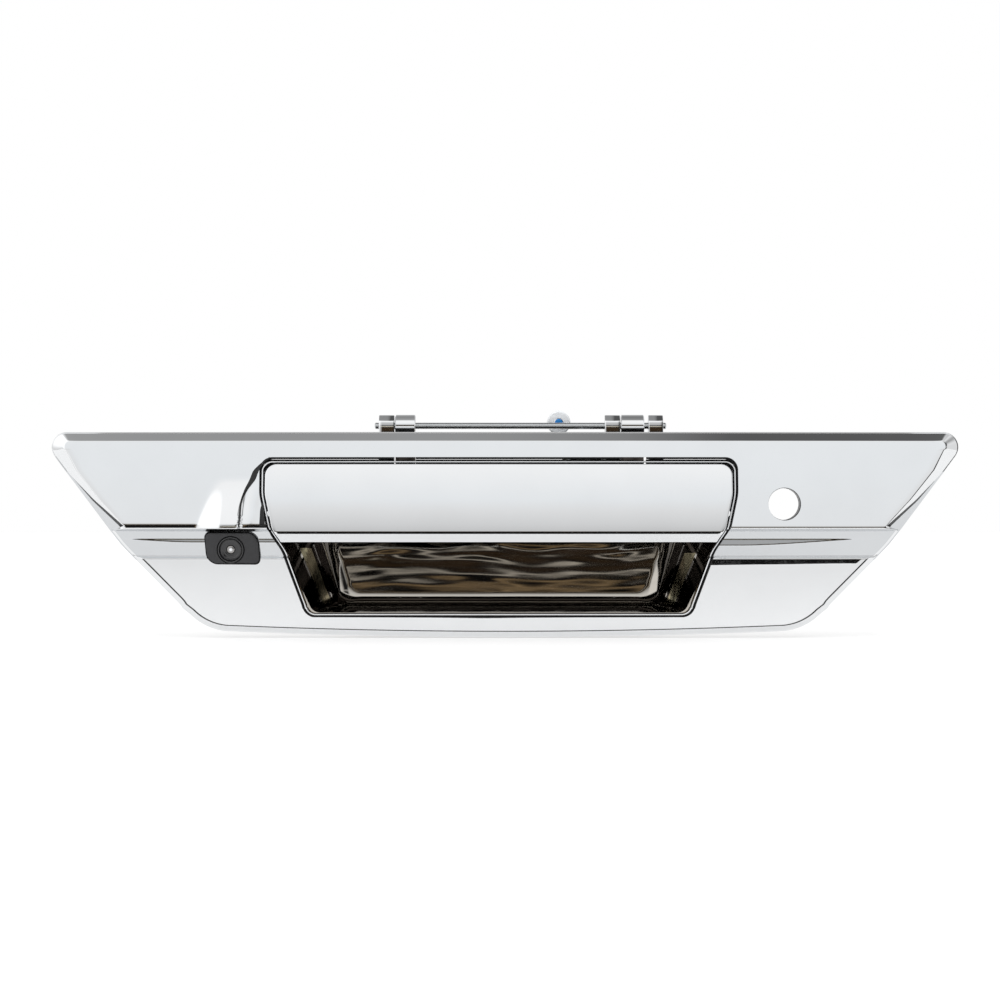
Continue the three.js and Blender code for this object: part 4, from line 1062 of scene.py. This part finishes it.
def make_sky():
    """Soft studio surroundings: white above the front, a dark band at eye level, grey overhead."""
    world = bpy.data.worlds.new("studio")
    bpy.context.scene.world = world
    world.use_nodes = True
    nodes, links = world.node_tree.nodes, world.node_tree.links
    sky = nodes["Background"]
    place = nodes.new("ShaderNodeTexCoord")
    split = nodes.new("ShaderNodeSeparateXYZ")
    links.new(place.outputs["Generated"], split.inputs["Vector"])

    def ramp(source, stops, low=-1.0, high=1.0):
        spread = nodes.new("ShaderNodeMapRange")
        spread.inputs["From Min"].default_value = low
        spread.inputs["From Max"].default_value = high
        links.new(source, spread.inputs["Value"])
        node = nodes.new("ShaderNodeValToRGB")
        band = node.color_ramp
        while len(band.elements) < len(stops):
            band.elements.new(0.5)
        for element, (at, colour) in zip(band.elements, stops):
            element.position = (at - low) / (high - low)
            element.color = (*(colour if isinstance(colour, tuple) else (colour,) * 3), 1)
        links.new(spread.outputs["Result"], node.inputs["Fac"])
        return node.outputs["Color"]

    def mix(factor, first, second):
        node = nodes.new("ShaderNodeMix")
        node.data_type = "RGBA"
        links.new(factor, node.inputs[0])
        links.new(first, node.inputs[6])
        links.new(second, node.inputs[7])
        return node.outputs[2]

    centre = ramp(split.outputs["Z"], [
        (-1.0, 0.75), (-0.10, 0.60), (-0.05, 0.012), (0.022, 0.006), (0.030, (0.42, 0.30, 0.17)),
        (0.038, 0.006), (0.060, 0.006), (0.066, (1.7, 1.6, 1.45)), (0.070, 0.006),
        (0.095, (0.05, 0.032, 0.018)),
        (0.122, 0.006), (0.130, (1.3, 1.2, 1.0)), (0.138, 0.03), (0.150, 0.03), (0.165, 0.50),
        (0.24, 0.76), (0.30, 0.88), (0.345, (0.95, 0.97, 0.985)), (0.48, 1.08), (0.80, 1.12),
        (0.90, 0.42), (1.0, 0.34)])
    right = ramp(split.outputs["Z"], [
        (-1.0, 0.75), (-0.05, 0.012), (0.02, (0.05, 0.04, 0.03)), (0.10, 0.012), (0.24, 0.02), (0.30, 0.5),
        (0.36, 0.05), (0.50, 0.10), (0.70, 0.9), (0.90, 0.3), (1.0, 0.3)])
    left = ramp(split.outputs["Z"], [
        (-1.0, 0.75), (-0.06, 0.7), (0.05, 0.9), (0.18, 1.25), (0.80, 1.35), (0.90, 0.4), (1.0, 0.3)])
    front = mix(ramp(split.outputs["X"], [(0.32, 0.0), (0.46, 1.0)]), centre, right)
    front = mix(ramp(split.outputs["X"], [(-0.46, 1.0), (-0.30, 0.0)]), front, left)
    flank = ramp(split.outputs["Z"], [(-1.0, 0.85), (0.8, 1.0), (0.90, 0.4), (1.0, 0.3)])
    front = mix(ramp(split.outputs["X"], [(0.66, 0.0), (0.80, 0.9)]), front, flank)
    behind = ramp(split.outputs["Z"], [(-1.0, 0.9), (0.3, 0.9), (0.6, 0.5), (0.9, 0.32), (1.0, 0.30)])
    both = mix(ramp(split.outputs["Y"], [(-0.25, 0.0), (0.15, 1.0)]), front, behind)
    shade = nodes.new("ShaderNodeMix")
    shade.data_type, shade.blend_type = "RGBA", "MULTIPLY"
    shade.inputs[0].default_value = 1.0
    links.new(both, shade.inputs[6])
    links.new(ramp(split.outputs["X"], [(-1.0, 1.0), (-0.02, 1.0), (0.06, 0.75), (0.12, 0.33), (1.0, 0.25)]),
              shade.inputs[7])
    overhead = mix(ramp(split.outputs["Z"], [(0.84, 0.0), (0.90, 1.0)], 0.0, 1.0), both, shade.outputs[2])
    path = nodes.new("ShaderNodeLightPath")
    white = nodes.new("ShaderNodeRGB")
    white.outputs[0].default_value = (1, 1, 1, 1)
    links.new(mix(path.outputs["Is Camera Ray"], overhead, white.outputs[0]), sky.inputs["Color"])


def make_lights():
    """A very soft light from overhead for the floor and the matt pieces, left out of reflections."""
    lamp = bpy.data.lights.new("overhead", "SUN")
    lamp.energy, lamp.angle = 1.6, math.radians(120.0)
    overhead = add_object("overhead", lamp)
    overhead.rotation_euler = (math.radians(12.0), 0.0, 0.0)
    overhead.visible_glossy = False


def make_view():
    """A long lens straight in front, level with the handle's middle."""
    distance, width = 1.6, 0.5515
    aim = (-0.0028, -0.004, -0.0331)
    lens = bpy.data.cameras.new("view")
    lens.sensor_width = 36.0
    lens.lens = lens.sensor_width * distance / width
    lens.clip_end = 50
    camera = add_object("view", lens)
    camera.location = (aim[0], aim[1] - distance, aim[2])
    camera.rotation_euler = (math.radians(90.0), 0.0, 0.0)
    bpy.context.scene.camera = camera
    bpy.context.scene.view_settings.view_transform = "Standard"


make_view()
make_sky()
make_lights()
make_floor()
make_bezel()
make_hood_painted_shade()
make_frame()
make_paddle_cover()
make_paddle_inner()
make_pin()
make_gasket()
make_fasteners()
make_crank()
make_spring()
make_clips()
make_bumpers()
make_camera()
